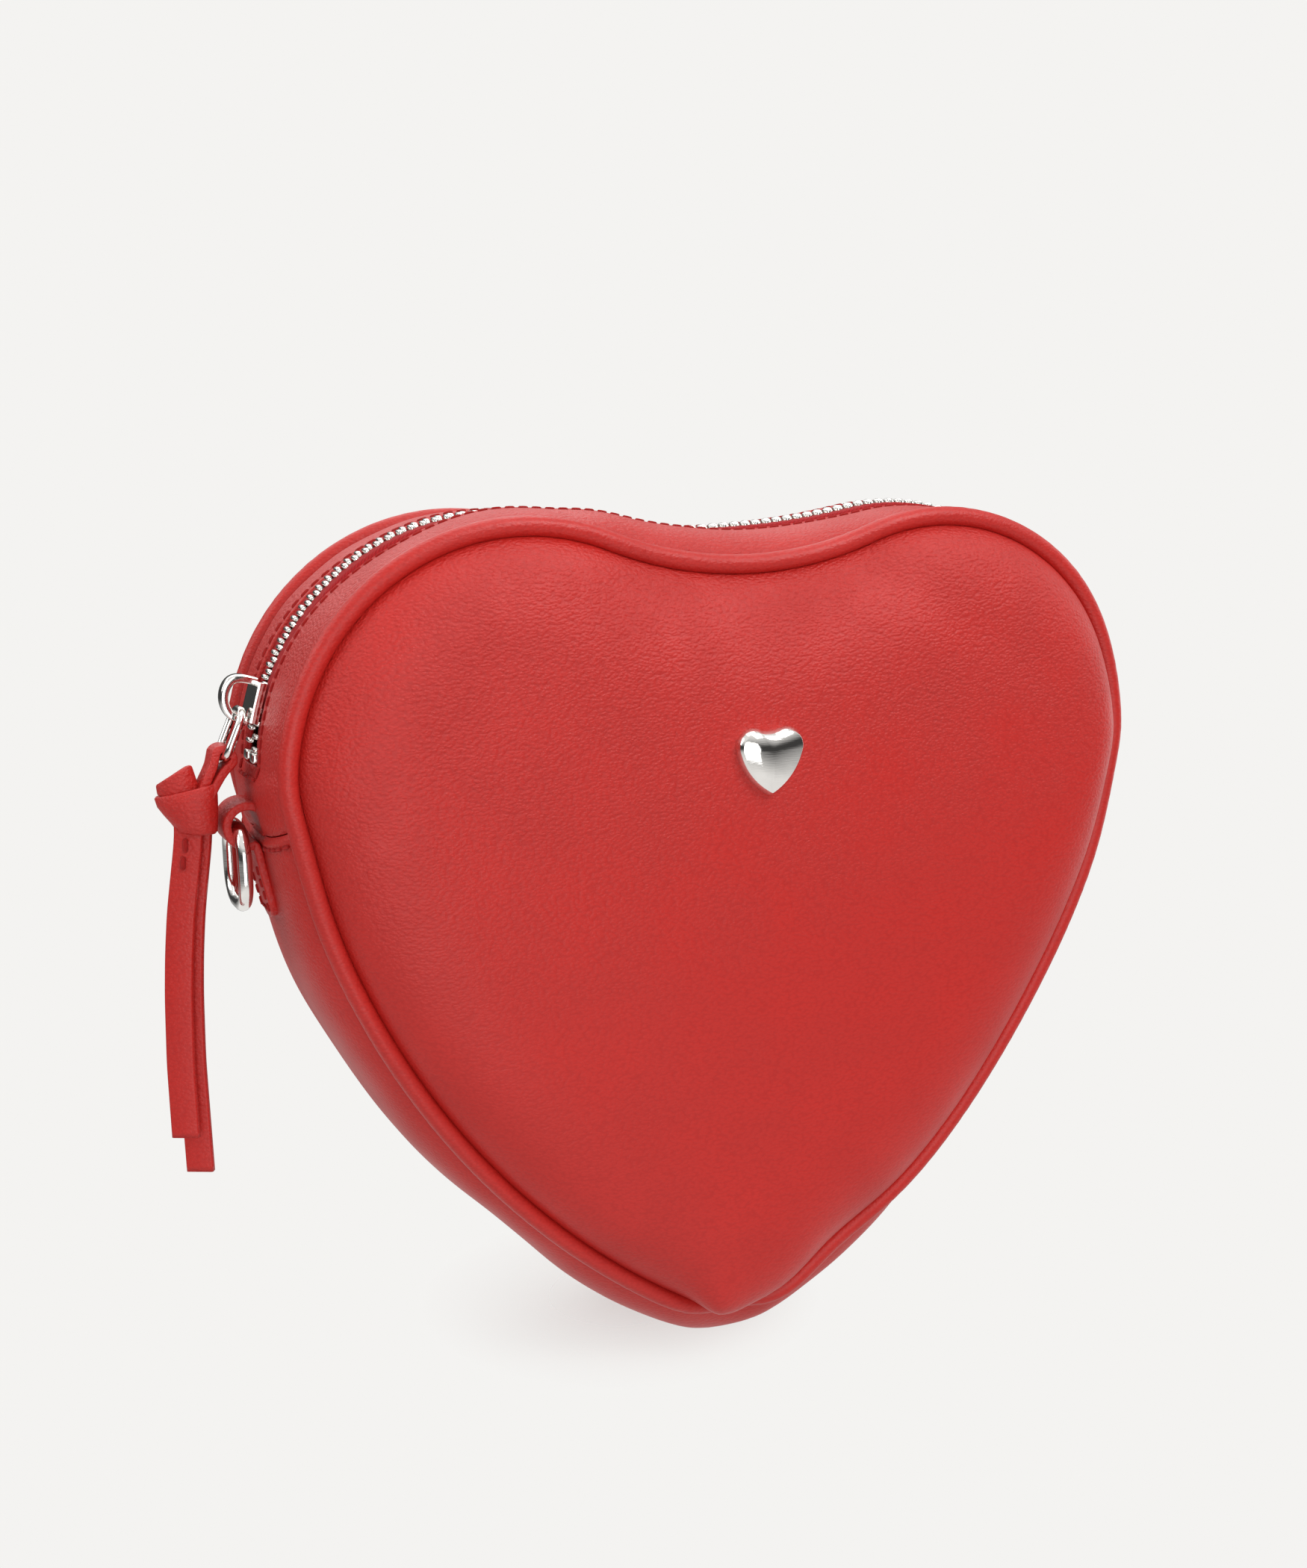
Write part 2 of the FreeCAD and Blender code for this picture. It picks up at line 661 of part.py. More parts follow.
def tooth_shape(row, length):
    """One tooth of a row (-1 front, 1 back) round the origin: a head and two legs on the tape."""
    half = size("tooth_height") / 2
    slit = size("tape_thickness") / 2 + size("layer_gap") / 2
    head = size("tooth_reach")
    grip = size("tooth_leg") - size("tooth_grip") - size("layer_gap")
    corners = (
        (half, head),
        (half, -size("tooth_leg")),
        (slit, -size("tooth_leg")),
        (slit, -grip),
        (-slit, -grip),
        (-slit, -size("tooth_leg")),
        (-half, -size("tooth_leg")),
        (-half, head),
    )
    start = -length / 2
    points = [FreeCAD.Vector(out, -row * aside, start) for out, aside in corners]
    face = Part.Face(Part.makePolygon(points + points[:1]))
    return face.extrude(FreeCAD.Vector(0, 0, length))


def on_chain(shape, along, aside):
    """Copy of a shape, set on the chain and shifted aside."""
    point, angle = chain_place(along)
    copy = shape.copy()
    turn = FreeCAD.Rotation(ACROSS, -math.degrees(angle))
    copy.Placement = FreeCAD.Placement(point + ACROSS * aside, turn)
    return copy


def solids(label, shapes):
    """Node of several separate solids."""
    group = doc.addObject("Part::Feature", label)
    group.Shape = Part.makeCompound(shapes)
    return node(label, group)


def make_chain():
    """Both rows of teeth, set half a pitch apart so that they mesh, and the end stops."""
    pitch = size("tooth_pitch")
    first = size("chain_end_rise") + size("stop_length")
    room = chain_length() - 2 * first
    count = int(room / pitch)
    for row, label in ((-1, "zip_teeth_front"), (1, "zip_teeth_back")):
        tooth = tooth_shape(row, size("tooth_thickness"))
        shift = first + pitch * (row + 2) / 4
        places = [shift + pitch * index for index in range(count)]
        solids(label, [on_chain(tooth, along, row * chain_spread(along)) for along in places])
    front_clamp, back_clamp = [tooth_shape(row, size("stop_length")) for row in (-1, 1)]
    at = size("chain_end_rise") + size("stop_length") / 2
    stops = [
        on_chain(front_clamp, at, -chain_spread(at)),
        on_chain(back_clamp, at, chain_spread(at)),
        on_chain(front_clamp.fuse(back_clamp).removeSplitter(), chain_length() - at, 0),
    ]
    solids("zip_end_stops", stops)


def make_tapes():
    """The two woven tapes under the leather, cut back where the rows part."""
    low = "-Worked.tape_half"
    high = "Worked.tape_half"
    outer = prism("tape_out", heart_sketch("tape_out_line", low, CROWN, "Worked.tape_top"), low, high)
    inner = prism("tape_in", heart_sketch("tape_in_line", low, CROWN, "Worked.tape_under"), low, high)
    band = cut("tape_band", outer, inner)
    top = place(
        slab("tape_room", low, high),
        x="-Sizes.heart_width",
        y=low,
        z="Worked.lobe_centre - Sizes.tape_tail",
    )
    upper = common("tape_strip", band, top)
    middle = found("chain_lobe") * math.radians(found("slider_turn"))
    ends = (
        chain_length() / 2,
        middle + size("slider_length") / 2,
        middle - size("slider_length") / 2,
        0,
    )
    opening = found("tape_opening") / 2
    profile = [(chain_place(along)[0].z, opening + chain_spread(along)) for along in ends[1:]]
    profile.append((found("lobe_centre") - size("tape_tail") - size("overrun"), profile[-1][1]))
    left = -2 * size("heart_width")
    corners = [FreeCAD.Vector(left, -aside, z) for z, aside in profile]
    corners = corners + [FreeCAD.Vector(left, aside, z) for z, aside in reversed(profile)]
    face = Part.Face(Part.makePolygon(corners + corners[:1]))
    dart = doc.addObject("Part::Feature", "tape_dart")
    dart.Shape = face.extrude(FreeCAD.Vector(2 * size("heart_width"), 0, 0))
    gap = place(
        slab("tape_gap", "-Worked.tape_opening / 2", "Worked.tape_opening / 2"),
        x="-Sizes.heart_width",
        y="-Worked.tape_opening / 2",
    )
    parted = cut("tape_parted", cut("tape_split", upper, gap), dart)
    node("zip_tape_front", common("zip_tape_front", parted, slab("tape_front_half", low, "0")))
    node("zip_tape_back", common("zip_tape_back", parted, slab("tape_back_half", "0", high)))


def at_slider(thing):
    """Turn a piece drawn outwards from the left lobe's centre to the slider's place."""
    return place(
        thing,
        x="-Worked.lobe_offset",
        z="Worked.lobe_centre",
        axis=ACROSS,
        angle="Worked.slider_turn - 180 deg",
    )


def make_slider():
    """Slider: two lipped plates on a wedge post, and the bridge on top of it."""
    wide = "Worked.slider_width"
    plate_y = "-Worked.slider_width / 2"
    plate_z = "-Sizes.slider_length / 2"
    long = "Sizes.slider_length"
    thick = "Sizes.slider_plate"
    pieces = [
        box("top_plate", thick, wide, long, x="Worked.top_plate_in", y=plate_y, z=plate_z),
        box("low_plate", thick, wide, long, x="Worked.low_plate_in", y=plate_y, z=plate_z),
    ]
    drop = "Sizes.slider_lip_drop"
    lip = "Sizes.slider_lip"
    for side, y in (("front", plate_y), ("back", "Worked.slider_inside")):
        upper_x = "Worked.top_plate_in - Sizes.slider_lip_drop"
        pieces.append(box("top_lip_" + side, drop, lip, long, x=upper_x, y=y, z=plate_z))
        pieces.append(box("low_lip_" + side, drop, lip, long, x="Worked.low_plate_out", y=y, z=plate_z))
    post = doc.addObject("Part::Wedge", "slider_post")
    height = "Worked.top_plate_in - Worked.low_plate_out"
    open_length = "Sizes.slider_length * Sizes.post_half_width / Worked.shoulder_spread"
    length = "%s * %s" % (open_length, POST_LENGTH_SHARE)
    tip = "Sizes.post_half_width * %s" % POST_TIP_SHARE
    bind(post, Xmin="0", X2min="0", Xmax=height, X2max=height, Ymin="0", Ymax=length)
    bind(post, Zmin="-" + tip, Zmax=tip, Z2min="-Sizes.post_half_width", Z2max="Sizes.post_half_width")
    end = "Sizes.slider_length / 2 - %s" % length
    pieces.append(place(post, x="Worked.low_plate_out", z=end, axis=RIGHT, angle="90 deg"))
    node("zip_slider", at_slider(fuse("zip_slider", *pieces)))

    half = "-Sizes.bridge_width / 2"
    centre = {"x": "Worked.bridge_centre", "y": half}
    arch = cut(
        "bridge_ring",
        rod("bridge_disc", "Sizes.bridge_radius", "Sizes.bridge_width", "y", **centre),
        rod("bridge_hole", "Worked.bridge_eye", "Sizes.bridge_width", "y", **centre),
    )
    across = "2 * Sizes.bridge_radius"
    keep_out = box("bridge_half", across, across, across, x="Worked.bridge_centre", y="-Sizes.bridge_radius",
                   z="-Sizes.bridge_radius")
    leg = ("Sizes.bridge_leg", "Sizes.bridge_width", "Sizes.bridge_bar")
    legs = (
        box("bridge_low_leg", *leg, x="Worked.top_plate_out", y=half, z="Worked.bridge_eye"),
        box("bridge_high_leg", "Sizes.bridge_leg - Sizes.bridge_mouth", "Sizes.bridge_width", "Sizes.bridge_bar",
            x="Worked.top_plate_out + Sizes.bridge_mouth", y=half, z="-Sizes.bridge_radius"),
    )
    bridge = fuse("zip_slider_crown", common("bridge_arch", arch, keep_out), *legs)
    node("zip_slider_crown", at_slider(bridge))


def rounded_loop(name, half, height, corner):
    """Upright rounded rectangle about the X axis, its top middle at the origin, as a path."""
    straight = half - corner
    flat = FreeCAD.Vector
    bend = corner * (1 - math.sqrt(0.5))
    edges = []
    runs = (
        (flat(0, -straight, 0), flat(0, straight, 0)),
        (flat(0, half, -corner), flat(0, half, corner - height)),
        (flat(0, straight, -height), flat(0, -straight, -height)),
        (flat(0, -half, corner - height), flat(0, -half, -corner)),
    )
    middles = (
        flat(0, half - bend, -bend),
        flat(0, half - bend, bend - height),
        flat(0, bend - half, bend - height),
        flat(0, bend - half, -bend),
    )
    for index, (begin, end) in enumerate(runs):
        if begin.distanceToPoint(end) > 0:
            edges.append(Part.makeLine(begin, end))
        following = runs[(index + 1) % len(runs)][0]
        edges.append(Part.Arc(end, middles[index], following).toShape())
    path = doc.addObject("Part::Feature", name)
    path.Shape = Part.Wire(edges)
    return path


def make_pull():
    """Oval link in the bridge, and the knotted thong through the link."""
    path = rounded_loop("link_path", size("link_width") / 2, size("link_length"), size("link_corner"))
    link = sweep("pull_link", ring_section("link_section", "Sizes.link_wire", LINK_SIDES, path), path)
    place(link, x="Worked.link_top_x", z="Worked.link_top_z", axis=ACROSS, angle="Sizes.link_lean * 1 deg")
    node("pull_link", link)

    half = "-Sizes.thong_width / 2"
    centre = {"x": "Worked.link_low_x", "y": half, "z": "Worked.link_low_z"}
    loop = rod("thong_loop", "Worked.thong_loop", "Sizes.thong_width", "y", **centre)
    eye = rod("thong_eye", "Worked.thong_eye", "Sizes.thong_width", "y", **centre)
    slope = "(180 deg - atan(Sizes.knot_drop / Sizes.knot_out))"
    neck = box(
        "thong_neck",
        "sqrt(Sizes.knot_out ^ 2 + Sizes.knot_drop ^ 2)",
        "Sizes.thong_width",
        "2 * Sizes.thong_thickness",
        x="Worked.link_low_x - Sizes.thong_thickness * sin(%s)" % slope,
        y=half,
        z="Worked.link_low_z - Sizes.thong_thickness * cos(%s)" % slope,
        axis=ACROSS,
        angle=slope,
    )
    rings = []
    for index, (rise, share) in enumerate(zip(KNOT_RISE_SHARES, KNOT_SIZE_SHARES)):
        ring = doc.addObject("Part::RegularPolygon", "knot_ring_%d" % index)
        ring.Polygon = KNOT_SIDES
        bind(ring, Circumradius="Sizes.knot_radius * %s" % share)
        height = "Worked.knot_z + Sizes.knot_half_height * %s" % rise
        rings.append(place(ring, x="Worked.knot_x", z=height))
    knot = loft("thong_knot", rings)
    tails = []
    turn = "Sizes.tail_turn * 1 deg"
    for name, length, near in (
        ("front_tail", "Sizes.front_tail", "(-Sizes.tail_gap / 2 - Sizes.thong_thickness)"),
        ("rear_tail", "Sizes.rear_tail", "(Sizes.tail_gap / 2)"),
    ):
        drop = "(%s + Sizes.knot_half_height)" % length
        tails.append(
            box(
                name,
                "Sizes.thong_thickness",
                "Sizes.thong_width",
                drop,
                x="Worked.knot_x + %s * cos(%s) + Sizes.thong_width / 2 * sin(%s)" % (near, turn, turn),
                y="%s * sin(%s) - Sizes.thong_width / 2 * cos(%s)" % (near, turn, turn),
                z="Worked.knot_z - " + drop,
                axis=UP,
                angle=turn,
            )
        )
    node("pull_strap", cut("pull_strap", fuse("thong", loop, neck, knot, *tails), eye))


def make_tabs():
    """Leather tabs: a loop round the ring's bar, and a round-ended tongue sewn to the gusset."""
    low = "-Sizes.tab_width / 2"
    high = "Sizes.tab_width / 2"
    over = prism("tongue_out", heart_sketch("tongue_out_line", low, CROWN, "-Worked.tab_outside"), low, high)
    under = prism("tongue_in", heart_sketch("tongue_in_line", low, CROWN, "-Sizes.layer_gap"), low, high)
    clear = prism("tab_clear", heart_sketch("tab_clear_line", low, CROWN, "-Sizes.layer_gap"), low, high)
    reach = "Sizes.heart_width"
    round_z = "Worked.tongue_z + Sizes.tab_width / 2"
    tongue_shape = fuse(
        "tongue_outline",
        box("tongue_run", reach, "Sizes.tab_width", "Sizes.tab_tongue - Sizes.tab_width / 2", y=low, z=round_z),
        rod("tongue_end", "Sizes.tab_width / 2", reach, "x", z=round_z),
    )
    tongue = common("tab_tongue", cut("tongue_band", over, under), tongue_shape)
    centre = {"x": "Worked.tab_x", "y": low, "z": "Worked.tab_z"}
    loop = cut("tab_loop", rod("tab_loop_disc", "Worked.tab_loop", "Sizes.tab_width", "y", **centre), clear)
    eye = rod("tab_eye", "Worked.tab_eye", "Sizes.tab_width", "y", **centre)
    right = node("tab_right", cut("tab_right", fuse("tab_body", loop, tongue), eye))
    node("tab_left", mirror("tab_left", right, RIGHT))


def make_rings():
    """Strap rings, hanging in the tabs' eyes."""
    path = rounded_loop("ring_path", found("ring_half"), size("ring_height"), found("ring_corner"))
    ring = sweep("strap_ring_right", ring_section("wire_section", "Sizes.ring_wire", RING_SIDES, path), path)
    place(ring, x="Worked.tab_x", z="Worked.tab_z - Worked.ring_hang")
    node("strap_ring_right", ring)
    node("strap_ring_left", mirror("strap_ring_left", ring, RIGHT))


make_panels()
make_stud()
make_gusset()
make_piping()
make_tapes()
make_chain()
make_slider()
make_pull()
make_tabs()
make_rings()
doc.recompute()

for thing in doc.Objects:
    if "Invalid" in thing.State or "Error" in thing.State:
        raise RuntimeError("%s did not build: %s" % (thing.Label, thing.State))
for thing in nodes:
    if thing.Shape.isNull() or not thing.Shape.isValid():
        raise RuntimeError("%s is not a sound shape" % thing.Label)
    if not thing.Shape.Solids:
        raise RuntimeError("%s holds no solid" % thing.Label)

os.makedirs("parts", exist_ok=True)
for thing in nodes:
    thing.Shape.exportStep("parts/%s.step" % thing.Label)
    print(thing.Label, len(thing.Shape.Solids), "solids", round(thing.Shape.Volume, 1), "cubic mm")
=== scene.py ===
"""Dressed visual model of the heart-shaped zip purse.

Sizes are in millimetres and turn into metres where a mesh is made. The front faces
-Y, +Z is up and the origin lies under the tip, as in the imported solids.
"""

import json
import logging
import math
from contextlib import contextmanager
from dataclasses import dataclass, field
from enum import Enum
from typing import Callable, Iterator, Sequence

import bmesh
import bpy
import numpy as np
from mathutils import Matrix, Vector

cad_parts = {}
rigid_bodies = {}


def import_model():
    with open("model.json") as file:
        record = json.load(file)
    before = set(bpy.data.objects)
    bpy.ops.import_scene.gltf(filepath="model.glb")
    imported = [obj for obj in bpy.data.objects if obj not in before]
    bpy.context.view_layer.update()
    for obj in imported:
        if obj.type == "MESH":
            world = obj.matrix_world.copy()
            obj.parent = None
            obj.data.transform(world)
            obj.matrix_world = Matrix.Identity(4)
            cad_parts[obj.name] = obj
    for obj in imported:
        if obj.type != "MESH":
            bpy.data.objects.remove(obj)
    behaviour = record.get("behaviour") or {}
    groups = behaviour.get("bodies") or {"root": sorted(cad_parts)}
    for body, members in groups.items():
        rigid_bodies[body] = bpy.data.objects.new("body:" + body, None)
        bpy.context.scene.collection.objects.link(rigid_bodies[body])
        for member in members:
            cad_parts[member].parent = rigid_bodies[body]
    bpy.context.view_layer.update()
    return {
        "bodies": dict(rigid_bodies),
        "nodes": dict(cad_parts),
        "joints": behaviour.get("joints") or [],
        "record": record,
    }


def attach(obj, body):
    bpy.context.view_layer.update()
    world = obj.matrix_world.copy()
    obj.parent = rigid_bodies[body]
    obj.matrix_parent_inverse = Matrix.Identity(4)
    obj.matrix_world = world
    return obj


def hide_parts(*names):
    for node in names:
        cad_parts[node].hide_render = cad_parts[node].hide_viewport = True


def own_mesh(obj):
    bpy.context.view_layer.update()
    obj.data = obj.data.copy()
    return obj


LOG = logging.getLogger("purse")
MM = 0.001
PER_METRE = 1000.0
HALF_DEPTH = 25.0  # from the middle of the purse to each line of piping
FLANK_X = 60.0  # points further out than this lie on a flank
FAR = 1000.0  # more than any distance on the purse
INSIDE = (0.0, 0.0, 110.0)  # a point inside the purse
ALONG_Y = (0.0, 1.0, 0.0)
LEATHER_THICK = 1.4

Array = np.ndarray
Faces = list[tuple[int, ...]]
Mesh = tuple[Array, Faces]
Triple = tuple[float, float, float]
Thing = bpy.types.Object
Socket = bpy.types.NodeSocket
Tree = bpy.types.NodeTree


class Side(Enum):
    """Front or back of the purse, as the sign of Y."""

    FRONT = -1
    BACK = 1


class Flank(Enum):
    """Left or right of the purse, as the sign of X."""

    LEFT = -1
    RIGHT = 1


class Slot(Enum):
    """Material slots of the record that the pieces made here use."""

    LEATHER = "leather"
    FOAM = "foam"
    LINING = "lining"
    TAPE = "zip_tape"
    ZIP_METAL = "zip_metal"
    RING_METAL = "ring_metal"


@dataclass(frozen=True)
class HeartLine:
    """Heart outline of tangent arcs in the XZ plane, in millimetres."""

    lobe_r: float = 50.8
    dip_r: float = 87.2
    side_r: float = 184.6
    tip_r: float = 15.0
    lobe_x: float = 49.2
    lobe_z: float = 141.9
    tip_z: float = 23.2

    def arcs(self) -> list[tuple[float, float, float, float, float, float]]:
        """Work out the arcs, anticlockwise from the right side.

        Returns:
            Centre x, centre z, radius, start angle, end angle and outward sign of each.
        """
        x, z = self.lobe_x, self.lobe_z
        dip_z = z + math.sqrt((self.dip_r + self.lobe_r) ** 2 - x ** 2)
        to_lobe, to_tip = self.side_r - self.lobe_r, self.side_r - self.tip_r
        span = math.hypot(x, z - self.tip_z)
        along = (to_lobe ** 2 - to_tip ** 2 + span ** 2) / (2 * span)
        aside = math.sqrt(to_lobe ** 2 - along ** 2)
        ux, uz = -x / span, (self.tip_z - z) / span
        side_x, side_z = x + along * ux + aside * uz, z + along * uz - aside * ux
        at_lobe = math.atan2(z - side_z, x - side_x)
        at_tip = math.atan2(self.tip_z - side_z, -side_x)
        at_dip = math.atan2(dip_z - z, -x)
        pi = math.pi
        return [
            (side_x, side_z, self.side_r, at_tip, at_lobe, 1.0),
            (x, z, self.lobe_r, at_lobe, 0.0, 1.0),
            (x, z, self.lobe_r, 0.0, at_dip, 1.0),
            (0.0, dip_z, self.dip_r, pi + at_dip, 2 * pi - at_dip, -1.0),
            (-x, z, self.lobe_r, pi - at_dip, pi, 1.0),
            (-x, z, self.lobe_r, pi, pi - at_lobe, 1.0),
            (-side_x, side_z, self.side_r, pi - at_lobe, pi - at_tip, 1.0),
            (0.0, self.tip_z, self.tip_r, pi - at_tip, 2 * pi + at_tip, 1.0),
        ]

    def sample(self, step: float) -> tuple[Array, Array]:
        """Walk round the outline.

        Args:
            step: Largest distance between points.

        Returns:
            Points and outward normals, both n by 2.
        """
        points, normals = [], []
        for cx, cz, radius, start, end, sign in self.arcs():
            count = max(3, math.ceil(radius * abs(end - start) / step))
            angles = np.linspace(start, end, count, endpoint=False)
            ring = np.stack([np.cos(angles), np.sin(angles)], 1)
            points.append(np.array([cx, cz]) + radius * ring)
            normals.append(sign * ring)
        return np.vstack(points), np.vstack(normals)

    def inset(self, depth: float) -> "HeartLine":
        """The same outline, set in all round."""
        return HeartLine(
            self.lobe_r - depth, self.dip_r + depth, self.side_r - depth, self.tip_r - depth,
            self.lobe_x, self.lobe_z, self.tip_z,
        )


SEAM = HeartLine()  # where the panels are sewn to the piping
CROWN = HeartLine(54.0, 200.0, 174.0, 24.0)  # top of the side strip
CHAIN = CROWN.inset(1.85)  # middle of the zip's chain


def bell(values: Array, middle: Array | float, width: Array | float, power: int = 2) -> Array:
    """Bell curve that is 1 in its middle.

    Args:
        values: Where to read it.
        middle: Where it is highest.
        width: How far from there it falls to about a third.
        power: 2 for the usual bell, an even number above that for a flatter top.

    Returns:
        One number for each value.
    """
    return np.exp(-(((values - middle) / width) ** power))


def unit(vectors: Array) -> Array:
    """The same directions with length 1."""
    return vectors / np.linalg.norm(vectors, axis=-1, keepdims=True)


def at_depth(flat: Array, y: Array | float) -> Array:
    """Points of the XZ plane, n by 2, moved to one Y or each to its own."""
    return np.stack([flat[:, 0], np.broadcast_to(y, len(flat)), flat[:, 1]], 1)


def walked(line: Array) -> Array:
    """Distance of each point of a line from its start."""
    steps = np.linalg.norm(np.diff(line, axis=0), axis=1)
    return np.concatenate([[0.0], np.cumsum(steps)])


def between(line: Array, steps: Array, at: float) -> Array:
    """Place on a line, read between its points.

    Args:
        line: Points, one row each.
        steps: Where each point lies along the line.
        at: Where to read.

    Returns:
        The place.
    """
    return np.array([np.interp(at, steps, column) for column in line.T])


def nearest(line: Array, z: float, flank: Flank) -> int:
    """Number of the point that is nearest to a height, on one flank."""
    elsewhere = line[:, 0] * flank.value < FLANK_X
    return int(np.argmin(np.abs(line[:, 1] - z) + FAR * elsewhere))


def reach(points: Array, normals: Array, line: HeartLine, limit: float = 40.0) -> Array:
    """Distance from points along their normals to another outline.

    Args:
        points: Points, n by 2.
        normals: Unit directions, n by 2.
        line: The outline to reach.
        limit: Crossings further off than this are on another part of the outline.

    Returns:
        One distance for each point.
    """
    small = 1e-12
    a = line.sample(1.0)[0]
    edge = np.roll(a, -1, 0) - a
    rel = a[None] - points[:, None]
    cross = normals[:, None, 0] * edge[None, :, 1] - normals[:, None, 1] * edge[None, :, 0]
    cross = np.where(np.abs(cross) < small, small, cross)
    t = (rel[..., 0] * edge[None, :, 1] - rel[..., 1] * edge[None, :, 0]) / cross
    u = (rel[..., 0] * normals[:, None, 1] - rel[..., 1] * normals[:, None, 0]) / cross
    good = (u >= -1e-6) & (u <= 1 + 1e-6) & (np.abs(t) < limit)
    return np.where(good, t, 0).sum(1) / np.maximum(good.sum(1), 1)


def gap_to(points: Array, edge: Array, chunk: int = 2000) -> Array:
    """Distance from points to the nearest place on a closed line.

    Args:
        points: Points, n by 2.
        edge: Corners of the line, m by 2.
        chunk: How many points are done at once.

    Returns:
        One distance for each point.
    """
    step = np.roll(edge, -1, 0) - edge
    size = (step ** 2).sum(1)
    found = []
    for some in np.array_split(points, max(1, len(points) // chunk)):
        rel = some[:, None] - edge[None]
        share = np.clip((rel * step[None]).sum(2) / size[None], 0, 1)
        found.append(np.sqrt(((rel - share[..., None] * step[None]) ** 2).sum(2).min(1)))
    return np.concatenate(found)


class Across(Enum):
    """Which part of the bag's depth a nudge moves."""

    SEAMS = "seams"
    BACK_SEAM = "back seam"
    CROWN = "crown"


@dataclass(frozen=True)
class Nudge:
    """Soft local shift of the leather, as the stuffed bag settles on its tip."""

    x: float
    z: float
    long: float
    high: float
    move: Triple
    across: Across

    def at(self, points: Array) -> Array:
        """Shift of each point; the second number of the move goes away from the middle."""
        weight = bell(points[:, 0], self.x, self.long) * bell(points[:, 2], self.z, self.high)
        depth = np.clip(np.abs(points[:, 1]) / HALF_DEPTH, 0, 1) ** 2
        if self.across is Across.CROWN:
            weight = weight * (1 - depth)
        else:
            weight = weight * depth * ((points[:, 1] > 0) | (self.across is Across.SEAMS))
        shift = np.outer(weight, self.move)
        shift[:, 1] *= np.sign(points[:, 1])
        return shift


SHUT_CROWN = Nudge(-27.0, 193.0, 11.0, 12.0, (0.0, 0.0, 1.9), Across.CROWN)
NUDGES = (
    SHUT_CROWN,
    Nudge(-1.0, 8.0, 10.0, 12.0, (0.0, -2.0, 4.5), Across.SEAMS),
    Nudge(99.0, 152.0, 15.0, 24.0, (-1.6, 0.0, 0.0), Across.SEAMS),
    Nudge(75.0, 75.0, 25.0, 35.0, (-0.8, 0.0, 0.3), Across.SEAMS),
    Nudge(24.0, 24.0, 15.0, 17.0, (-1.8, 0.0, 1.8), Across.SEAMS),
    Nudge(-72.0, 186.0, 20.0, 18.0, (0.5, 0.0, -1.0), Across.CROWN),
    Nudge(-55.0, 35.0, 20.0, 20.0, (1.5, 0.0, 2.0), Across.CROWN),
    Nudge(-97.0, 96.0, 14.0, 17.0, (-1.3, 0.0, -0.6), Across.CROWN),
    Nudge(36.0, 192.0, 30.0, 14.0, (0.0, 0.0, -2.0), Across.BACK_SEAM),
    Nudge(-100.0, 131.0, 16.0, 13.0, (0.0, 0.0, 4.2), Across.SEAMS),
    Nudge(100.0, 131.0, 16.0, 13.0, (0.0, 0.0, 4.2), Across.SEAMS),
)


def settled(points: Array) -> Array:
    """Points of the sewn pattern, moved to where the stuffed leather rests."""
    return points + sum(nudge.at(points) for nudge in NUDGES)


@dataclass(frozen=True)
class Ridge:
    """Soft ridge, or with a negative height a soft furrow, along a line."""

    height: float
    middle: float
    width: float
    power: int = 2

    def at(self, values: Array) -> Array:
        """How high it is at each place across it."""
        return self.height * bell(values, self.middle, self.width, self.power)


@dataclass(frozen=True)
class Spot:
    """Soft oval spot in the XZ plane, strongest in its middle."""

    x: float
    z: float
    long: float
    short: float
    turn: float = 0.0
    amount: float = 1.0

    def at(self, x: Array, z: Array) -> Array:
        """How strong it is at each point."""
        a = math.radians(self.turn)
        along = (x - self.x) * math.cos(a) + (z - self.z) * math.sin(a)
        aside = -(x - self.x) * math.sin(a) + (z - self.z) * math.cos(a)
        return self.amount * bell(along, 0.0, self.long) * bell(aside, 0.0, self.short)


def linked(name: str, data: bpy.types.ID) -> Thing:
    """New object in the scene for a mesh, a lamp or a camera."""
    thing = bpy.data.objects.new(name, data)
    bpy.context.scene.collection.objects.link(thing)
    return thing


def shade_smooth(mesh: bpy.types.Mesh) -> None:
    """Let every face of a mesh shade smoothly."""
    mesh.polygons.foreach_set("use_smooth", [True] * len(mesh.polygons))


def add_mesh(name: str, points: Array, faces: Faces) -> Thing:
    """Make a mesh object from points in millimetres.

    Args:
        name: Name of the piece.
        points: Points, n by 3.
        faces: Corner numbers of each face.

    Returns:
        The new object.
    """
    mesh = bpy.data.meshes.new(name)
    mesh.from_pydata((np.asarray(points, float) * MM).tolist(), [], faces)
    mesh.update()
    shade_smooth(mesh)
    return linked(name, mesh)


@contextmanager
def editing(mesh: bpy.types.Mesh) -> Iterator[bmesh.types.BMesh]:
    """Open a mesh for editing and put the result back."""
    work = bmesh.new()
    work.from_mesh(mesh)
    try:
        yield work
        work.to_mesh(mesh)
    finally:
        work.free()


def outward(thing: Thing) -> Thing:
    """Turn a closed mesh's faces to the outside."""
    with editing(thing.data) as work:
        bmesh.ops.recalc_face_normals(work, faces=work.faces)
    return thing


def outward_from(thing: Thing) -> Thing:
    """Turn an open sheet's faces away from the inside of the purse."""
    mesh, middle = thing.data, Vector(INSIDE) * MM
    if sum(p.normal.dot(p.center - middle) * p.area for p in mesh.polygons) < 0:
        mesh.flip_normals()
    return thing


def sharpen(thing: Thing, degrees: float) -> Thing:
    """Keep the edges of a smooth mesh sharp where it turns by more than an angle."""
    limit = math.radians(degrees)
    with editing(thing.data) as work:
        for edge in work.edges:
            sharp = len(edge.link_faces) == 2 and edge.calc_face_angle(0.0) > limit
            edge.smooth = not sharp
    return thing


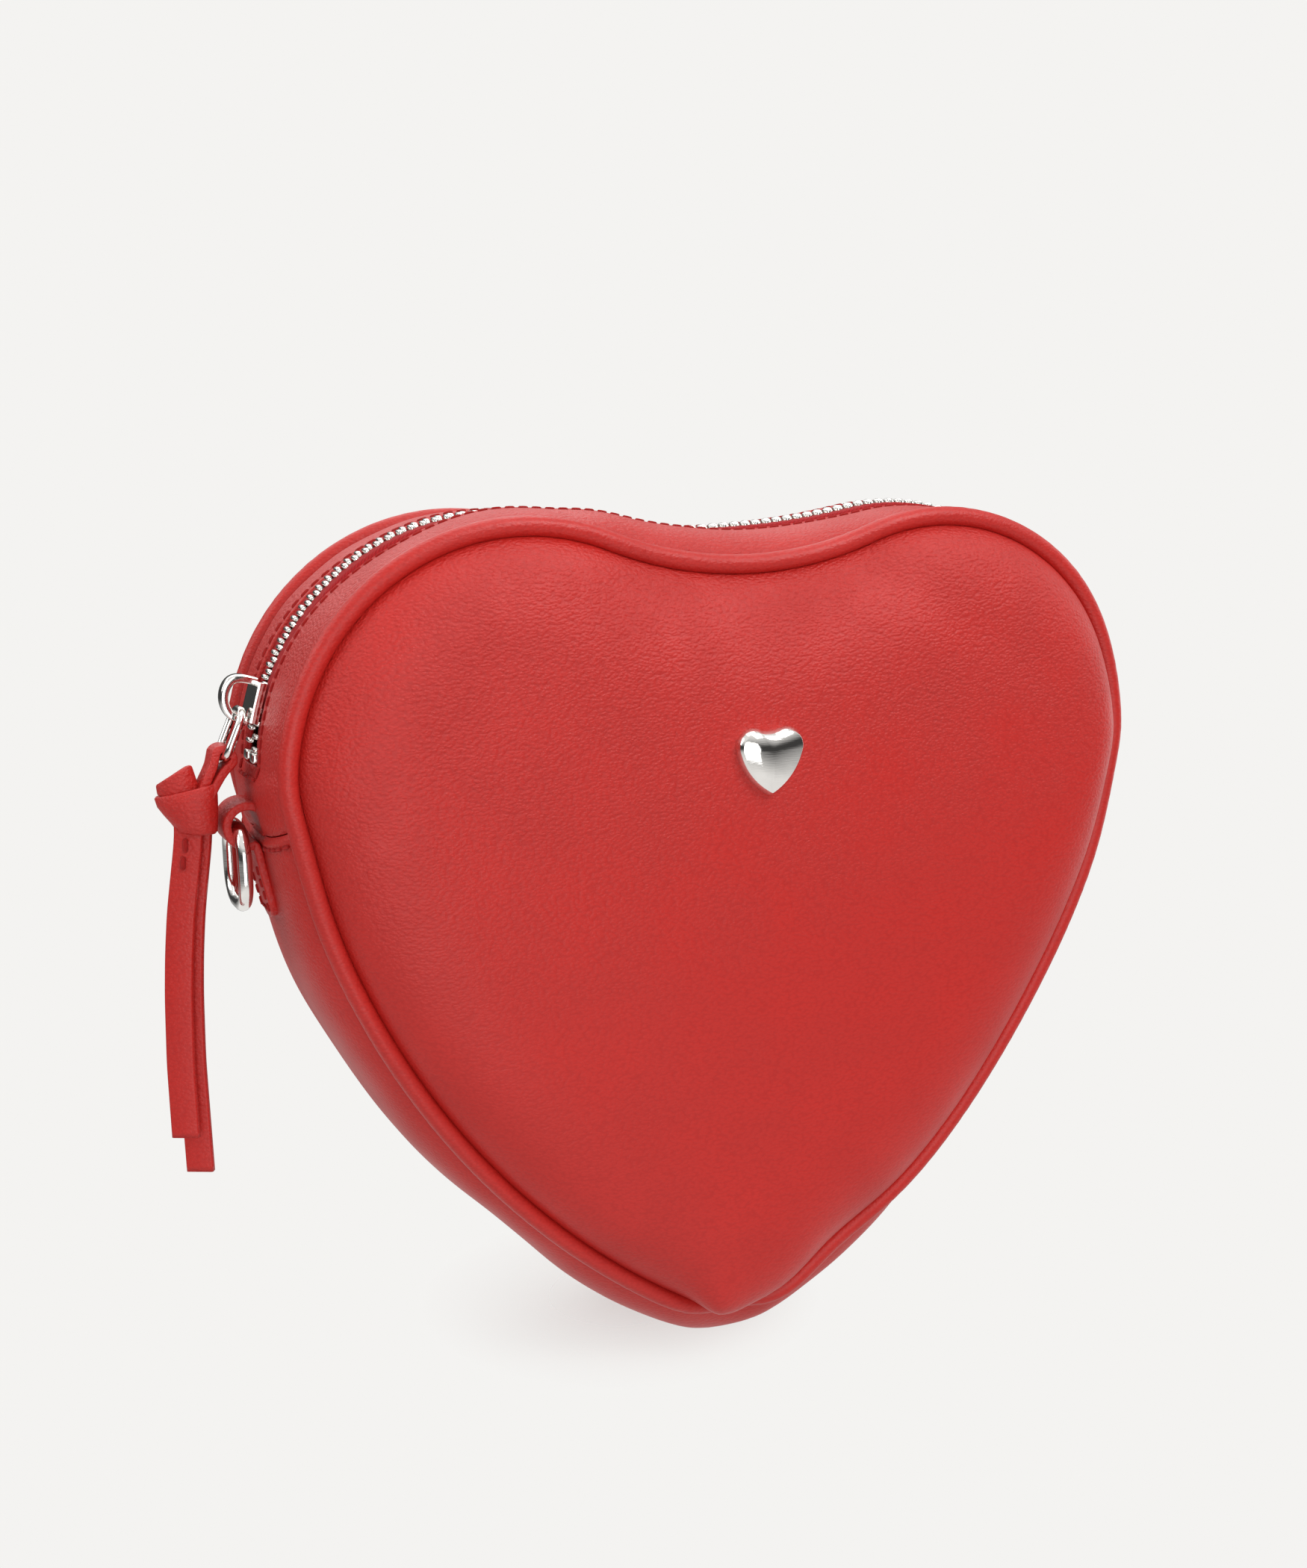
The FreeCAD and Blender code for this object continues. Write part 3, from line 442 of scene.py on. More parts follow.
def settle(thing: Thing) -> Thing:
    """Apply every modifier to the mesh."""
    depsgraph = bpy.context.evaluated_depsgraph_get()
    mesh = bpy.data.meshes.new_from_object(thing.evaluated_get(depsgraph))
    thing.modifiers.clear()
    thing.data = mesh
    shade_smooth(mesh)
    return thing


def add_bevel(thing: Thing, edge: float, segments: int, degrees: float) -> None:
    """Round the edges of a piece that turn by more than an angle.

    Args:
        thing: The piece.
        edge: Radius in millimetres.
        segments: Steps round each edge.
        degrees: The angle.
    """
    soft = thing.modifiers.new("edge", "BEVEL")
    soft.width = edge * MM
    soft.segments = segments
    soft.limit_method = "ANGLE"
    soft.angle_limit = math.radians(degrees)


def thicken(thing: Thing, depth: float, edge: float = 0.0) -> Thing:
    """Give a sheet its thickness, grown inwards, and keep the result.

    Args:
        thing: Sheet to thicken.
        depth: Thickness in millimetres.
        edge: Radius of the rounded edges, if they are rounded.

    Returns:
        The same object.
    """
    shell = thing.modifiers.new("thickness", "SOLIDIFY")
    shell.thickness = depth * MM
    shell.offset = -1.0
    shell.use_even_offset = False
    if edge > 0:
        add_bevel(thing, edge, 2, 50.0)
    return settle(thing)


def grid_faces(rows: int, columns: int, wrap_rows: bool, wrap_columns: bool) -> Faces:
    """Quads of a grid whose points are numbered row by row.

    Args:
        rows: How many rows of points there are.
        columns: How many points a row has.
        wrap_rows: Whether the last row joins the first.
        wrap_columns: Whether each row closes on itself.

    Returns:
        The faces.
    """
    faces = []
    for i in range(rows if wrap_rows else rows - 1):
        for j in range(columns if wrap_columns else columns - 1):
            k, m = (i + 1) % rows, (j + 1) % columns
            faces.append((i * columns + j, k * columns + j, k * columns + m, i * columns + m))
    return faces


def swept_faces(rings: int, sides: int, closed: bool) -> Faces:
    """Faces of a section swept along a path, capped unless the path closes."""
    faces = grid_faces(rings, sides, closed, True)
    if not closed:
        faces.append(tuple(range(sides)))
        faces.append(tuple((rings - 1) * sides + k for k in reversed(range(sides))))
    return faces


def fan(first: int, count: int, pole: int) -> Faces:
    """Triangles from a ring of points to one point in its middle."""
    return [(first + k, pole, first + (k + 1) % count) for k in range(count)]


def merged(parts: Sequence[Mesh]) -> Mesh:
    """Several meshes as one."""
    points, faces, start = [], [], 0
    for some_points, some_faces in parts:
        points.append(some_points)
        faces += [tuple(start + v for v in face) for face in some_faces]
        start += len(some_points)
    return np.vstack(points), faces


def many(points: Array, faces: Faces, places: Sequence[tuple[Array, Array]]) -> Mesh:
    """Copies of a small mesh in several places.

    Args:
        points: Points of the small mesh.
        faces: Its faces.
        places: For each copy its centre and a 3 by 3 matrix with the axes in columns.

    Returns:
        Points and faces of all copies.
    """
    return merged([(points @ axes.T + centre, faces) for centre, axes in places])


def trim(points: Array, faces: Faces) -> Mesh:
    """Drop the points that no face uses."""
    used = sorted({v for face in faces for v in face})
    number = {v: k for k, v in enumerate(used)}
    return points[used], [tuple(number[v] for v in face) for face in faces]


def tangents(path: Array, closed: bool) -> Array:
    """Unit directions along a path."""
    if closed:
        return unit(np.roll(path, -1, 0) - np.roll(path, 1, 0))
    return unit(np.gradient(path, axis=0))


def round_angles(count: int) -> Array:
    """Equal steps once round a circle."""
    return np.linspace(0, 2 * math.pi, count, endpoint=False)


def tube(path: Array, radius: Callable[[int], float] | float, sides: int, closed: bool) -> Mesh:
    """Round tube along a path.

    Args:
        path: Points, n by 3.
        radius: Radius, or a function of the point's number.
        sides: Points round the section.
        closed: Whether the path closes on itself.

    Returns:
        Points and faces.
    """
    count = len(path)
    tangent = tangents(path, closed)
    normal = np.cross(tangent[0], [0.3, 0.9, 0.2])
    frames = []
    for t in tangent:
        normal = unit(normal - t * (normal @ t))
        frames.append(normal)
    if closed:
        first, last = frames[0], unit(frames[-1] - tangent[0] * (frames[-1] @ tangent[0]))
        turn = math.atan2(np.cross(last, first) @ tangent[0], last @ first)
        for k, t in enumerate(tangent):
            a = turn * k / count
            frames[k] = frames[k] * math.cos(a) + np.cross(t, frames[k]) * math.sin(a)
    angles = round_angles(sides)
    points = []
    for k in range(count):
        across = np.cross(tangent[k], frames[k])
        r = radius(k) if callable(radius) else radius
        ring = np.cos(angles)[:, None] * frames[k] + np.sin(angles)[:, None] * across
        points.append(path[k] + r * ring)
    return np.vstack(points), swept_faces(count, sides, closed)


def soft_block(size: Triple, edge: float, segments: int) -> Mesh:
    """Block with rounded edges about the origin.

    Args:
        size: Length, width and height.
        edge: Radius of the edges.
        segments: Steps round each edge.

    Returns:
        Points and faces.
    """
    work = bmesh.new()
    bmesh.ops.create_cube(work, size=1.0, matrix=Matrix.Diagonal((*size, 1.0)))
    bmesh.ops.bevel(
        work, geom=list(work.edges), offset=edge, segments=segments, affect="EDGES", profile=0.5,
    )
    work.verts.index_update()
    points = np.array([v.co[:] for v in work.verts])
    faces = [tuple(v.index for v in f.verts) for f in work.faces]
    work.free()
    return points, faces


def stitched(lines: Sequence[Array], pitch: float, length: float, radius: float) -> Mesh:
    """Stitches along lines, as small capsules.

    Args:
        lines: Lines to follow, each n by 3.
        pitch: From one stitch to the next.
        length: Length of a stitch.
        radius: Radius of the thread.

    Returns:
        Points and faces.
    """
    ends = np.array([-0.5, -0.47, -0.36, 0.0, 0.36, 0.47, 0.5]) * length
    bulge = np.array([0.25, 0.62, 0.93, 1.0, 0.93, 0.62, 0.25]) * radius
    small, faces = tube(np.outer(ends, [1.0, 0.0, 0.0]), lambda k: bulge[k], 7, False)
    half_step = 0.6
    places = []
    for line in lines:
        steps = walked(line)
        count = max(1, round(steps[-1] / pitch))
        for k in range(count):
            at = (k + 0.5) * steps[-1] / count
            a, b = between(line, steps, at - half_step), between(line, steps, at + half_step)
            along = unit(b - a)
            side = unit(np.cross(along, [0.31, 0.52, 0.79]))
            places.append(((a + b) / 2, np.stack([along, side, np.cross(along, side)], 1)))
    return many(small, faces, places)


def waves(values: Array, seed: int, terms: int, low: float, high: float) -> Array:
    """Smooth repeatable unevenness along a line, about 1 at most.

    Args:
        values: Places along the line.
        seed: Seed of the random numbers.
        terms: How many waves are added.
        low: Slowest rate.
        high: Fastest rate.

    Returns:
        One number for each place.
    """
    source = np.random.default_rng(seed)
    total = np.zeros_like(values)
    for _ in range(terms):
        size, rate = source.uniform(0.4, 1.0), source.uniform(low, high)
        total += size * np.sin(values * rate + source.uniform(0, 6.3))
    return total / terms


def seat(
    thing: Thing, body: str, slot: Slot, finish: bpy.types.Material, *nodes: str,
) -> Thing:
    """Dress a piece, set it on its body and hide the solids that it stands for.

    Args:
        thing: The finished piece.
        body: Body that it rides on.
        slot: Material slot of the record; not used.
        finish: Its material.
        nodes: Solids that it replaces.

    Returns:
        The same piece.
    """
    thing.data.materials.clear()
    thing.data.materials.append(finish)
    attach(thing, body)
    if nodes:
        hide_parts(*nodes)
    LOG.info("%s: %d faces", thing.name, len(thing.data.polygons))
    return thing


class NodeWriter:
    """Short hand for building one node tree."""

    MIX_A, MIX_B, MIX_RESULT = 6, 7, 2  # a Mix node's colour sockets, by number

    def __init__(self, tree: Tree) -> None:
        """Keep the tree that is built."""
        self.tree = tree

    def feed(self, node: bpy.types.Node, inputs: dict[str | int, object]) -> None:
        """Link or set a node's inputs.

        Args:
            node: The node.
            inputs: Names or numbers of its inputs, each with a socket or a plain value.
        """
        for key, value in inputs.items():
            if isinstance(value, bpy.types.NodeSocket):
                self.tree.links.new(value, node.inputs[key])
            else:
                node.inputs[key].default_value = value

    def add(
        self, kind: str, inputs: dict[str | int, object] | None = None, **settings: object,
    ) -> bpy.types.Node:
        """Add a node.

        Args:
            kind: Its type.
            inputs: What its inputs take.
            settings: Its properties.

        Returns:
            The node.
        """
        node = self.tree.nodes.new(kind)
        for name, value in settings.items():
            setattr(node, name, value)
        self.feed(node, inputs or {})
        return node

    def place(self) -> Socket:
        """The shaded point in the object's own space."""
        return self.add("ShaderNodeTexCoord").outputs["Object"]

    def split(self, vector: Socket) -> bpy.types.bpy_prop_collection:
        """A vector's X, Y and Z."""
        return self.add("ShaderNodeSeparateXYZ", {0: vector}).outputs

    def math(self, operation: str, first: object, second: object = 0.0) -> Socket:
        """Work out one number from one or two sockets or numbers."""
        return self.add("ShaderNodeMath", {0: first, 1: second}, operation=operation).outputs[0]

    def vector(self, operation: str, *values: object) -> bpy.types.bpy_prop_collection:
        """Work on sockets or vectors; gives the node's outputs."""
        inputs = dict(enumerate(values))
        return self.add("ShaderNodeVectorMath", inputs, operation=operation).outputs

    def noise(self, vector: Socket, scale: object, detail: float) -> Socket:
        """Value of a noise texture."""
        inputs = {"Vector": vector, "Scale": scale, "Detail": detail}
        return self.add("ShaderNodeTexNoise", inputs).outputs["Fac"]

    def blend(self, factor: Socket, first: object, second: object) -> Socket:
        """Mix two colours by a factor."""
        inputs = {"Factor": factor, self.MIX_A: first, self.MIX_B: second}
        return self.add("ShaderNodeMix", inputs, data_type="RGBA").outputs[self.MIX_RESULT]

    def ramp(
        self, value: Socket, low: float, high: float, to_low: float = 0.0, to_high: float = 1.0,
    ) -> Socket:
        """Map the values from low to high to another range, clamped."""
        inputs = {
            "Value": value, "From Min": low, "From Max": high, "To Min": to_low, "To Max": to_high,
        }
        return self.add("ShaderNodeMapRange", inputs, clamp=True).outputs["Result"]

    def bump(self, height: Socket, distance: float) -> Socket:
        """Normal of a relief that is a distance in metres high."""
        inputs = {"Height": height, "Distance": distance}
        return self.add("ShaderNodeBump", inputs).outputs["Normal"]


def new_group(
    name: str, inputs: dict[str, float], outputs: Sequence[str],
) -> tuple[Tree, NodeWriter, bpy.types.bpy_prop_collection, bpy.types.Node]:
    """Start a shader node group.

    Args:
        name: The group's name.
        inputs: Number inputs with their usual values.
        outputs: Names of the numbers that it puts out.

    Returns:
        The tree, its writer, the sockets of its inputs, and its output node.
    """
    kind = "NodeSocketFloat"
    tree = bpy.data.node_groups.new(name, "ShaderNodeTree")
    for label, value in inputs.items():
        socket = tree.interface.new_socket(label, in_out="INPUT", socket_type=kind)
        socket.default_value = value
    for label in outputs:
        tree.interface.new_socket(label, in_out="OUTPUT", socket_type=kind)
    write = NodeWriter(tree)
    return tree, write, write.add("NodeGroupInput").outputs, write.add("NodeGroupOutput")


def leather_group() -> Tree:
    """Pebbled leather: grain height, slow mottling, and a mask for painted shade in the valleys
    where the pebbles meet.
    """
    tree, write, given, result = new_group(
        "Leather grain",
        {"Pebble size": 0.9, "Depth": 1.0, "Upper depth": 1.0},
        ("Height", "Mottle", "Crease"),
    )
    place = write.place()
    scale = write.math("DIVIDE", PER_METRE, given["Pebble size"])
    warp = write.add("ShaderNodeTexNoise", {"Vector": place, "Scale": 420.0}).outputs["Color"]
    shifted = write.vector("MULTIPLY_ADD", warp, (0.0007, 0.0007, 0.0007), place)[0]
    longer = write.vector("MULTIPLY", shifted, (0.6, 1.0, 1.0))[0]
    cells = write.add(
        "ShaderNodeTexVoronoi", {"Vector": longer, "Scale": scale, "Smoothness": 0.6},
        feature="SMOOTH_F1",
    ).outputs["Distance"]
    fine = write.noise(place, write.math("MULTIPLY", scale, 2.3), 3.0)
    wide = write.noise(place, 55.0, 2.0)
    upper = write.ramp(write.split(place)["Z"], 0.09, 0.17)
    extra = write.math("MULTIPLY", upper, given["Upper depth"])
    depth = write.math("ADD", given["Depth"], extra)
    strength = write.math("MULTIPLY", depth, write.ramp(wide, 0.3, 0.7, 0.7, 1.15))
    pebble = write.math("SUBTRACT", 1.0, cells)
    relief = write.math("ADD", pebble, write.math("MULTIPLY", fine, 0.55))
    write.feed(result, {
        "Height": write.math("MULTIPLY", relief, strength),
        "Mottle": write.ramp(wide, 0.25, 0.75),
        # painted shade: this mask is high in the valleys between pebbles, where the shade colour
        # is blended in
        "Crease": write.ramp(cells, 0.35, 0.75),
    })
    return tree


def weave_group() -> Tree:
    """Plain weave from two crossed sets of threads, on any side of a piece, with a mask of the
    gaps between threads that takes painted shade.
    """
    tree, write, given, result = new_group(
        "Plain weave", {"Thread pitch": 0.4, "Turn": 0.0}, ("Height", "Gap"),
    )
    place = write.place()
    axes = write.split(place)
    rate = write.math("DIVIDE", 2 * PER_METRE * math.pi, given["Thread pitch"])
    run = write.math("ADD", axes["X"], axes["Z"])
    skew = write.math("ADD", axes["Y"], write.math("MULTIPLY", run, given["Turn"]))
    first, second = (write.math("SINE", write.math("MULTIPLY", w, rate)) for w in (run, skew))
    product = write.math("MULTIPLY", first, second)
    uneven = write.math("MULTIPLY", write.noise(place, 900.0, 2.0), 0.8)
    write.feed(result, {
        "Height": write.math("ADD", product, uneven),
        # painted shade: the gap mask is high in the hollows between threads
        "Gap": write.ramp(product, -1.0, 0.2, 1.0, 0.0),
    })
    return tree


def wear_group() -> Tree:
    """Handled metal: smudges, and the height of fine scratches."""
    tree, write, given, result = new_group(
        "Handled metal", {"Smudge size": 4.0, "Scratch": 1.0}, ("Smudge", "Height"),
    )
    place = write.place()
    smudge = write.noise(place, write.math("DIVIDE", PER_METRE, given["Smudge size"]), 4.0)
    stretch = write.add("ShaderNodeMapping", {
        "Vector": place, "Rotation": (0.3, 0.5, 0.2), "Scale": (300.0, 300.0, 5200.0),
    })
    line = write.noise(stretch.outputs[0], 1.0, 2.0)
    write.feed(result, {
        "Smudge": write.ramp(smudge, 0.35, 0.75),
        "Height": write.math("MULTIPLY", line, given["Scratch"]),
    })
    return tree


def new_material(name: str) -> tuple[bpy.types.Material, NodeWriter, bpy.types.Node]:
    """Start a material and give its writer and its Principled shader."""
    material = bpy.data.materials.new(name)
    material.use_nodes = True
    return material, NodeWriter(material.node_tree), material.node_tree.nodes["Principled BSDF"]


def solid(colour: Triple, share: float = 1.0) -> tuple[float, ...]:
    """A colour, or a share of it, as the shaders take it."""
    return (*(part * share for part in colour), 1.0)


@dataclass(frozen=True)
class LeatherFinish:
    """Coated faux leather, with painted shade in the grain's valleys."""

    name: str
    colour: Triple
    # darker red painted into the grain's valleys as shade
    shade: Triple
    roughness: float = 0.43
    pebble: float = 0.58
    depth: float = 0.42
    upper_depth: float = 1.2
    bump: float = 0.00016
    mottle: float = 0.9
    # share of the painted valley shade
    crease: float = 0.45
    specular: float = 0.4

    def material(self, grain: Tree) -> bpy.types.Material:
        """Build the material from the shared grain."""
        material, write, shader = new_material(self.name)
        group = write.add("ShaderNodeGroup", {
            "Pebble size": self.pebble, "Depth": self.depth, "Upper depth": self.upper_depth,
        }, node_tree=grain).outputs
        mottle = group["Mottle"]
        base = write.blend(mottle, solid(self.colour), solid(self.colour, self.mottle))
        # painted shade: blend towards the shade colour in the valleys between pebbles
        shade_share = write.math("MULTIPLY", group["Crease"], self.crease)
        smoother, rougher = self.roughness - 0.05, self.roughness + 0.06
        write.feed(shader, {
            "Base Color": write.blend(shade_share, base, solid(self.shade)),
            "Roughness": write.ramp(mottle, 0.0, 1.0, smoother, rougher),
            "Normal": write.bump(group["Height"], self.bump),
            "Specular IOR Level": self.specular,
        })
        return material


@dataclass(frozen=True)
class WovenFinish:
    """Woven cloth or tape, with painted shade in the gaps between threads."""

    name: str
    colour: Triple
    # darker colour painted into the gaps between threads as shade
    gap: Triple
    pitch: float
    turn: float = 0.0
    low: float = 0.72
    high: float = 0.92
    bump: float = 0.00008
    sheen: float = 0.04
    specular: float = 0.2

    def material(self, weave: Tree) -> bpy.types.Material:
        """Build the material from the shared weave."""
        material, write, shader = new_material(self.name)
        inputs = {"Thread pitch": self.pitch, "Turn": self.turn}
        group = write.add("ShaderNodeGroup", inputs, node_tree=weave).outputs
        write.feed(shader, {
            # painted shade: the gap colour darkens the hollows between threads
            "Base Color": write.blend(group["Gap"], solid(self.colour), solid(self.gap)),
            "Roughness": write.ramp(group["Gap"], 0.0, 1.0, self.low, self.high),
            "Normal": write.bump(group["Height"], self.bump),
            "Sheen Weight": self.sheen,
            "Specular IOR Level": self.specular,
        })
        return material


@dataclass(frozen=True)
class MetalFinish:
    """Plated metal with light handling wear."""

    name: str
    colour: Triple
    low: float
    high: float
    smudge: float
    dull: float = 0.86
    bump: float = 0.000012

    def material(self, wear: Tree) -> bpy.types.Material:
        """Build the material from the shared wear."""
        material, write, shader = new_material(self.name)
        group = write.add(
            "ShaderNodeGroup", {"Smudge size": self.smudge}, node_tree=wear,
        ).outputs
        dulled = solid(self.colour, self.dull)
        write.feed(shader, {
            "Base Color": write.blend(group["Smudge"], solid(self.colour), dulled),
            "Roughness": write.ramp(group["Smudge"], 0.0, 1.0, self.low, self.high),
            "Normal": write.bump(group["Height"], self.bump),
            "Metallic": 1.0,
        })
        return material


# the second colour of each leather or cloth finish is painted shade for the grain's valleys or the
# weave's gaps
LEATHER = LeatherFinish("Red faux leather", (0.55, 0.021, 0.016), (0.41, 0.012, 0.01))
BEADING = LeatherFinish(
    "Red piping leather", (0.54, 0.021, 0.016), (0.4, 0.011, 0.009),
    roughness=0.42, pebble=0.5, depth=0.45, upper_depth=0.2, bump=0.00014,
)
THREAD = WovenFinish("Red sewing thread", (0.52, 0.018, 0.016), (0.38, 0.012, 0.01), 0.35, 1.0)
LINING = WovenFinish("Dark red lining", (0.3, 0.02, 0.03), (0.16, 0.008, 0.012), 0.45)
TAPE = WovenFinish("Red zip tape", (0.5, 0.012, 0.016), (0.26, 0.006, 0.008), 0.5, 0.6)
FOAM = WovenFinish("Pale foam", (0.8, 0.78, 0.72), (0.6, 0.58, 0.52), 1.1, 0.4)
NICKEL = MetalFinish("Bright nickel", (0.84, 0.82, 0.79), 0.14, 0.3, 2.5)
POLISHED = MetalFinish("Polished nickel", (0.9, 0.88, 0.85), 0.05, 0.14, 5.0)
STEEL = MetalFinish("Plain steel", (0.5, 0.5, 0.5), 0.3, 0.5, 3.0)


@dataclass
class Finishes:
    """Every material of the purse, made once."""

    leather: bpy.types.Material
    beading: bpy.types.Material
    thread: bpy.types.Material
    lining: bpy.types.Material
    tape: bpy.types.Material
    foam: bpy.types.Material
    nickel: bpy.types.Material
    polished: bpy.types.Material
    steel: bpy.types.Material

    @classmethod
    def make(cls) -> "Finishes":
        """Build the shared groups and all materials."""
        shared = (
            (leather_group(), (LEATHER, BEADING)),
            (weave_group(), (THREAD, LINING, TAPE, FOAM)),
            (wear_group(), (NICKEL, POLISHED, STEEL)),
        )
        return cls(*(finish.material(group) for group, some in shared for finish in some))


def dome_field(line: HeartLine, step: float, rounds: int = 400) -> tuple[Array, Array, Array]:
    """Solve how a sheet held along an outline puffs up.

    Args:
        line: Outline that holds the sheet.
        step: Grid step in millimetres.
        rounds: Most rounds that the solver takes.

    Returns:
        Grid x values, grid z values, and heights from 0 to 1.
    """
    edge, _ = line.sample(1.0)
    low, high = edge.min(0) - 2 * step, edge.max(0) + 2 * step
    xs, zs = np.arange(low[0], high[0], step), np.arange(low[1], high[1], step)
    gx, gz = np.meshgrid(xs, zs, indexing="ij")
    inside = np.zeros(gx.shape, bool)
    for (ax, az), (bx, bz) in zip(edge, np.roll(edge, -1, 0)):
        if az != bz:
            inside ^= ((az > gz) != (bz > gz)) & (gx < (bx - ax) * (gz - az) / (bz - az) + ax)
    mask = inside.astype(float)

    def pull(u: Array) -> Array:
        """Stiffness of the sheet at each grid point."""
        out = 4 * u
        out[1:] -= u[:-1]
        out[:-1] -= u[1:]
        out[:, 1:] -= u[:, :-1]
        out[:, :-1] -= u[:, 1:]
        return out * mask

    u = np.zeros(gx.shape)
    rest = mask.copy()
    way = rest.copy()
    size = (rest * rest).sum()
    for _ in range(rounds):
        pulled = pull(way)
        amount = size / (way * pulled).sum()
        u += amount * way
        rest -= amount * pulled
        new_size = (rest * rest).sum()
        if new_size < 1e-9:
            break
        way = rest + (new_size / size) * way
        size = new_size
    return xs, zs, u / u.max()


def read_field(grid: tuple[Array, Array, Array], x: Array, z: Array) -> Array:
    """Read a grid's heights between its points."""
    xs, zs, u = grid
    i = np.clip((x - xs[0]) / (xs[1] - xs[0]), 0, len(xs) - 2.001)
    j = np.clip((z - zs[0]) / (zs[1] - zs[0]), 0, len(zs) - 2.001)
    i0, j0 = i.astype(int), j.astype(int)
    fi, fj = i - i0, j - j0
    return (u[i0, j0] * (1 - fi) * (1 - fj) + u[i0 + 1, j0] * fi * (1 - fj)
            + u[i0, j0 + 1] * (1 - fi) * fj + u[i0 + 1, j0 + 1] * fi * fj)


@dataclass(frozen=True)
class Chin:
    """Where a panel sags over its piping at the tip."""

    x: float = -8.0
    left: float = 6.0
    right: float = 13.0
    from_seam: float = 4.0
    full_to: float = 20.0
    fade: float = 14.0
    drop: float = 4.6
    push: float = 1.5

    def at(self, x: Array, z: Array, gap: Array) -> Array:
        """How much of the sag each point gets, from 0 to 1."""
        width = np.where(x < self.x, self.left, self.right)
        share = gap / self.from_seam
        over = np.maximum(z - self.full_to, 0)
        spread = bell(x, self.x, width) * bell(over, 0.0, self.fade)
        return spread * share * np.exp(1 - share)


DENTS = {
    Side.FRONT: (
        Spot(40.0, 176.0, 30.0, 6.0, -27.0, 0.75),
        Spot(-25.0, 181.0, 14.0, 6.5, 18.0, 0.75),
        Spot(-60.0, 165.0, 16.0, 9.0, 40.0, 0.4),
        Spot(45.0, 100.0, 30.0, 14.0, 60.0, 0.35),
        Spot(-40.0, 80.0, 34.0, 16.0, -50.0, 0.4),
    ),
    Side.BACK: (
        Spot(20.0, 150.0, 30.0, 16.0, 10.0, 0.7),
        Spot(-30.0, 100.0, 34.0, 18.0, -60.0, 0.6),
    ),
}


@dataclass
class Panel:
    """One puffed heart panel and the foam pad behind it."""

    side: Side
    finishes: Finishes
    inset: float = 1.7
    step: float = 1.4
    rim_share: float = 0.32
    rim_power: float = 1.6
    rim_rings: int = 30
    inner_rings: int = 28
    last_share: float = 0.02
    field_step: float = 1.5
    rim_y: float = 23.9
    roll: float = 26.0
    roll_power: float = 2.5
    tight: float = 13.0
    tight_cheek: Spot = Spot(97.0, 138.0, 38.0, 36.0)
    tight_tip: Ridge = Ridge(0.4, 8.0, 16.0)
    slack: float = 20.0
    slack_dip: Spot = Spot(0.0, 184.0, 36.0, 26.0)
    shoulder: float = 10.4
    crown: float = 3.8
    crown_power: float = 0.8
    dent_fade: float = 6.0
    middle: tuple[float, float] = (0.0, 120.0)
    chin: Chin = Chin()
    pad_share: float = 0.95
    pad_sink: float = 2.4

    def surface(self) -> tuple[Array, Faces, int]:
        """Points of the outside, faces, and how many points each ring has."""
        line = SEAM.inset(self.inset)
        edge = line.sample(self.step)[0]
        ring = len(edge)
        rim = 1 - self.rim_share * np.linspace(0, 1, self.rim_rings)[:-1] ** self.rim_power
        inner = np.linspace(1 - self.rim_share, self.last_share, self.inner_rings)
        shares = np.concatenate([rim, inner])
        centre = np.array(self.middle)
        flat = (centre + (edge - centre)[None] * shares[:, None, None]).reshape(-1, 2)
        flat = np.vstack([flat, centre])
        x, z = flat.T
        gap = gap_to(flat, edge)
        puff = np.maximum(read_field(dome_field(line, self.field_step), x, z), 0.0)
        gap[:ring] = puff[:ring] = 0.0
        tight = np.minimum(self.tight_cheek.at(x, z) + self.tight_tip.at(z), 1.0)
        roll = self.roll - self.tight * tight + self.slack * self.slack_dip.at(x, z)
        rolled = np.sqrt(1 - (1 - np.clip(gap / roll, 0, 1)) ** self.roll_power)
        height = self.shoulder * rolled + self.crown * puff ** self.crown_power
        for dent in DENTS[self.side]:
            height -= dent.at(x, z) * np.clip(gap / self.dent_fade, 0, 1)
        sag = self.chin.at(x, z, gap)
        depth = self.side.value * (self.rim_y + height + self.chin.push * sag)
        points = settled(at_depth(flat, depth))
        points[:, 2] -= self.chin.drop * sag
        faces = grid_faces(len(shares), ring, False, True)
        faces += fan((len(shares) - 1) * ring, ring, len(points) - 1)
        if self.side is Side.FRONT:
            faces = [tuple(reversed(face)) for face in faces]
        return points, faces, ring

    def build(self) -> None:
        """Make the panel and its pad and set them on the bag."""
        name = self.side.name.lower()
        points, faces, ring = self.surface()
        thing = thicken(add_mesh("panel_" + name, points, faces), LEATHER_THICK)
        seat(thing, "bag", Slot.LEATHER, self.finishes.leather, name + "_panel")
        inner = points * [self.pad_share, 1.0, self.pad_share]
        inner[:, 2] += (1 - self.pad_share) * self.middle[1]
        inner[:, 1] -= self.side.value * self.pad_sink
        pad = close_back(add_mesh("pad_" + name, inner, faces), ring)
        seat(pad, "bag", Slot.FOAM, self.finishes.foam, name + "_pad")


def close_back(thing: Thing, ring: int) -> Thing:
    """Close the flat back of a pad over its outer ring."""
    with editing(thing.data) as work:
        work.verts.ensure_lookup_table()
        work.faces.new([work.verts[k] for k in range(ring)])
    return outward(thing)


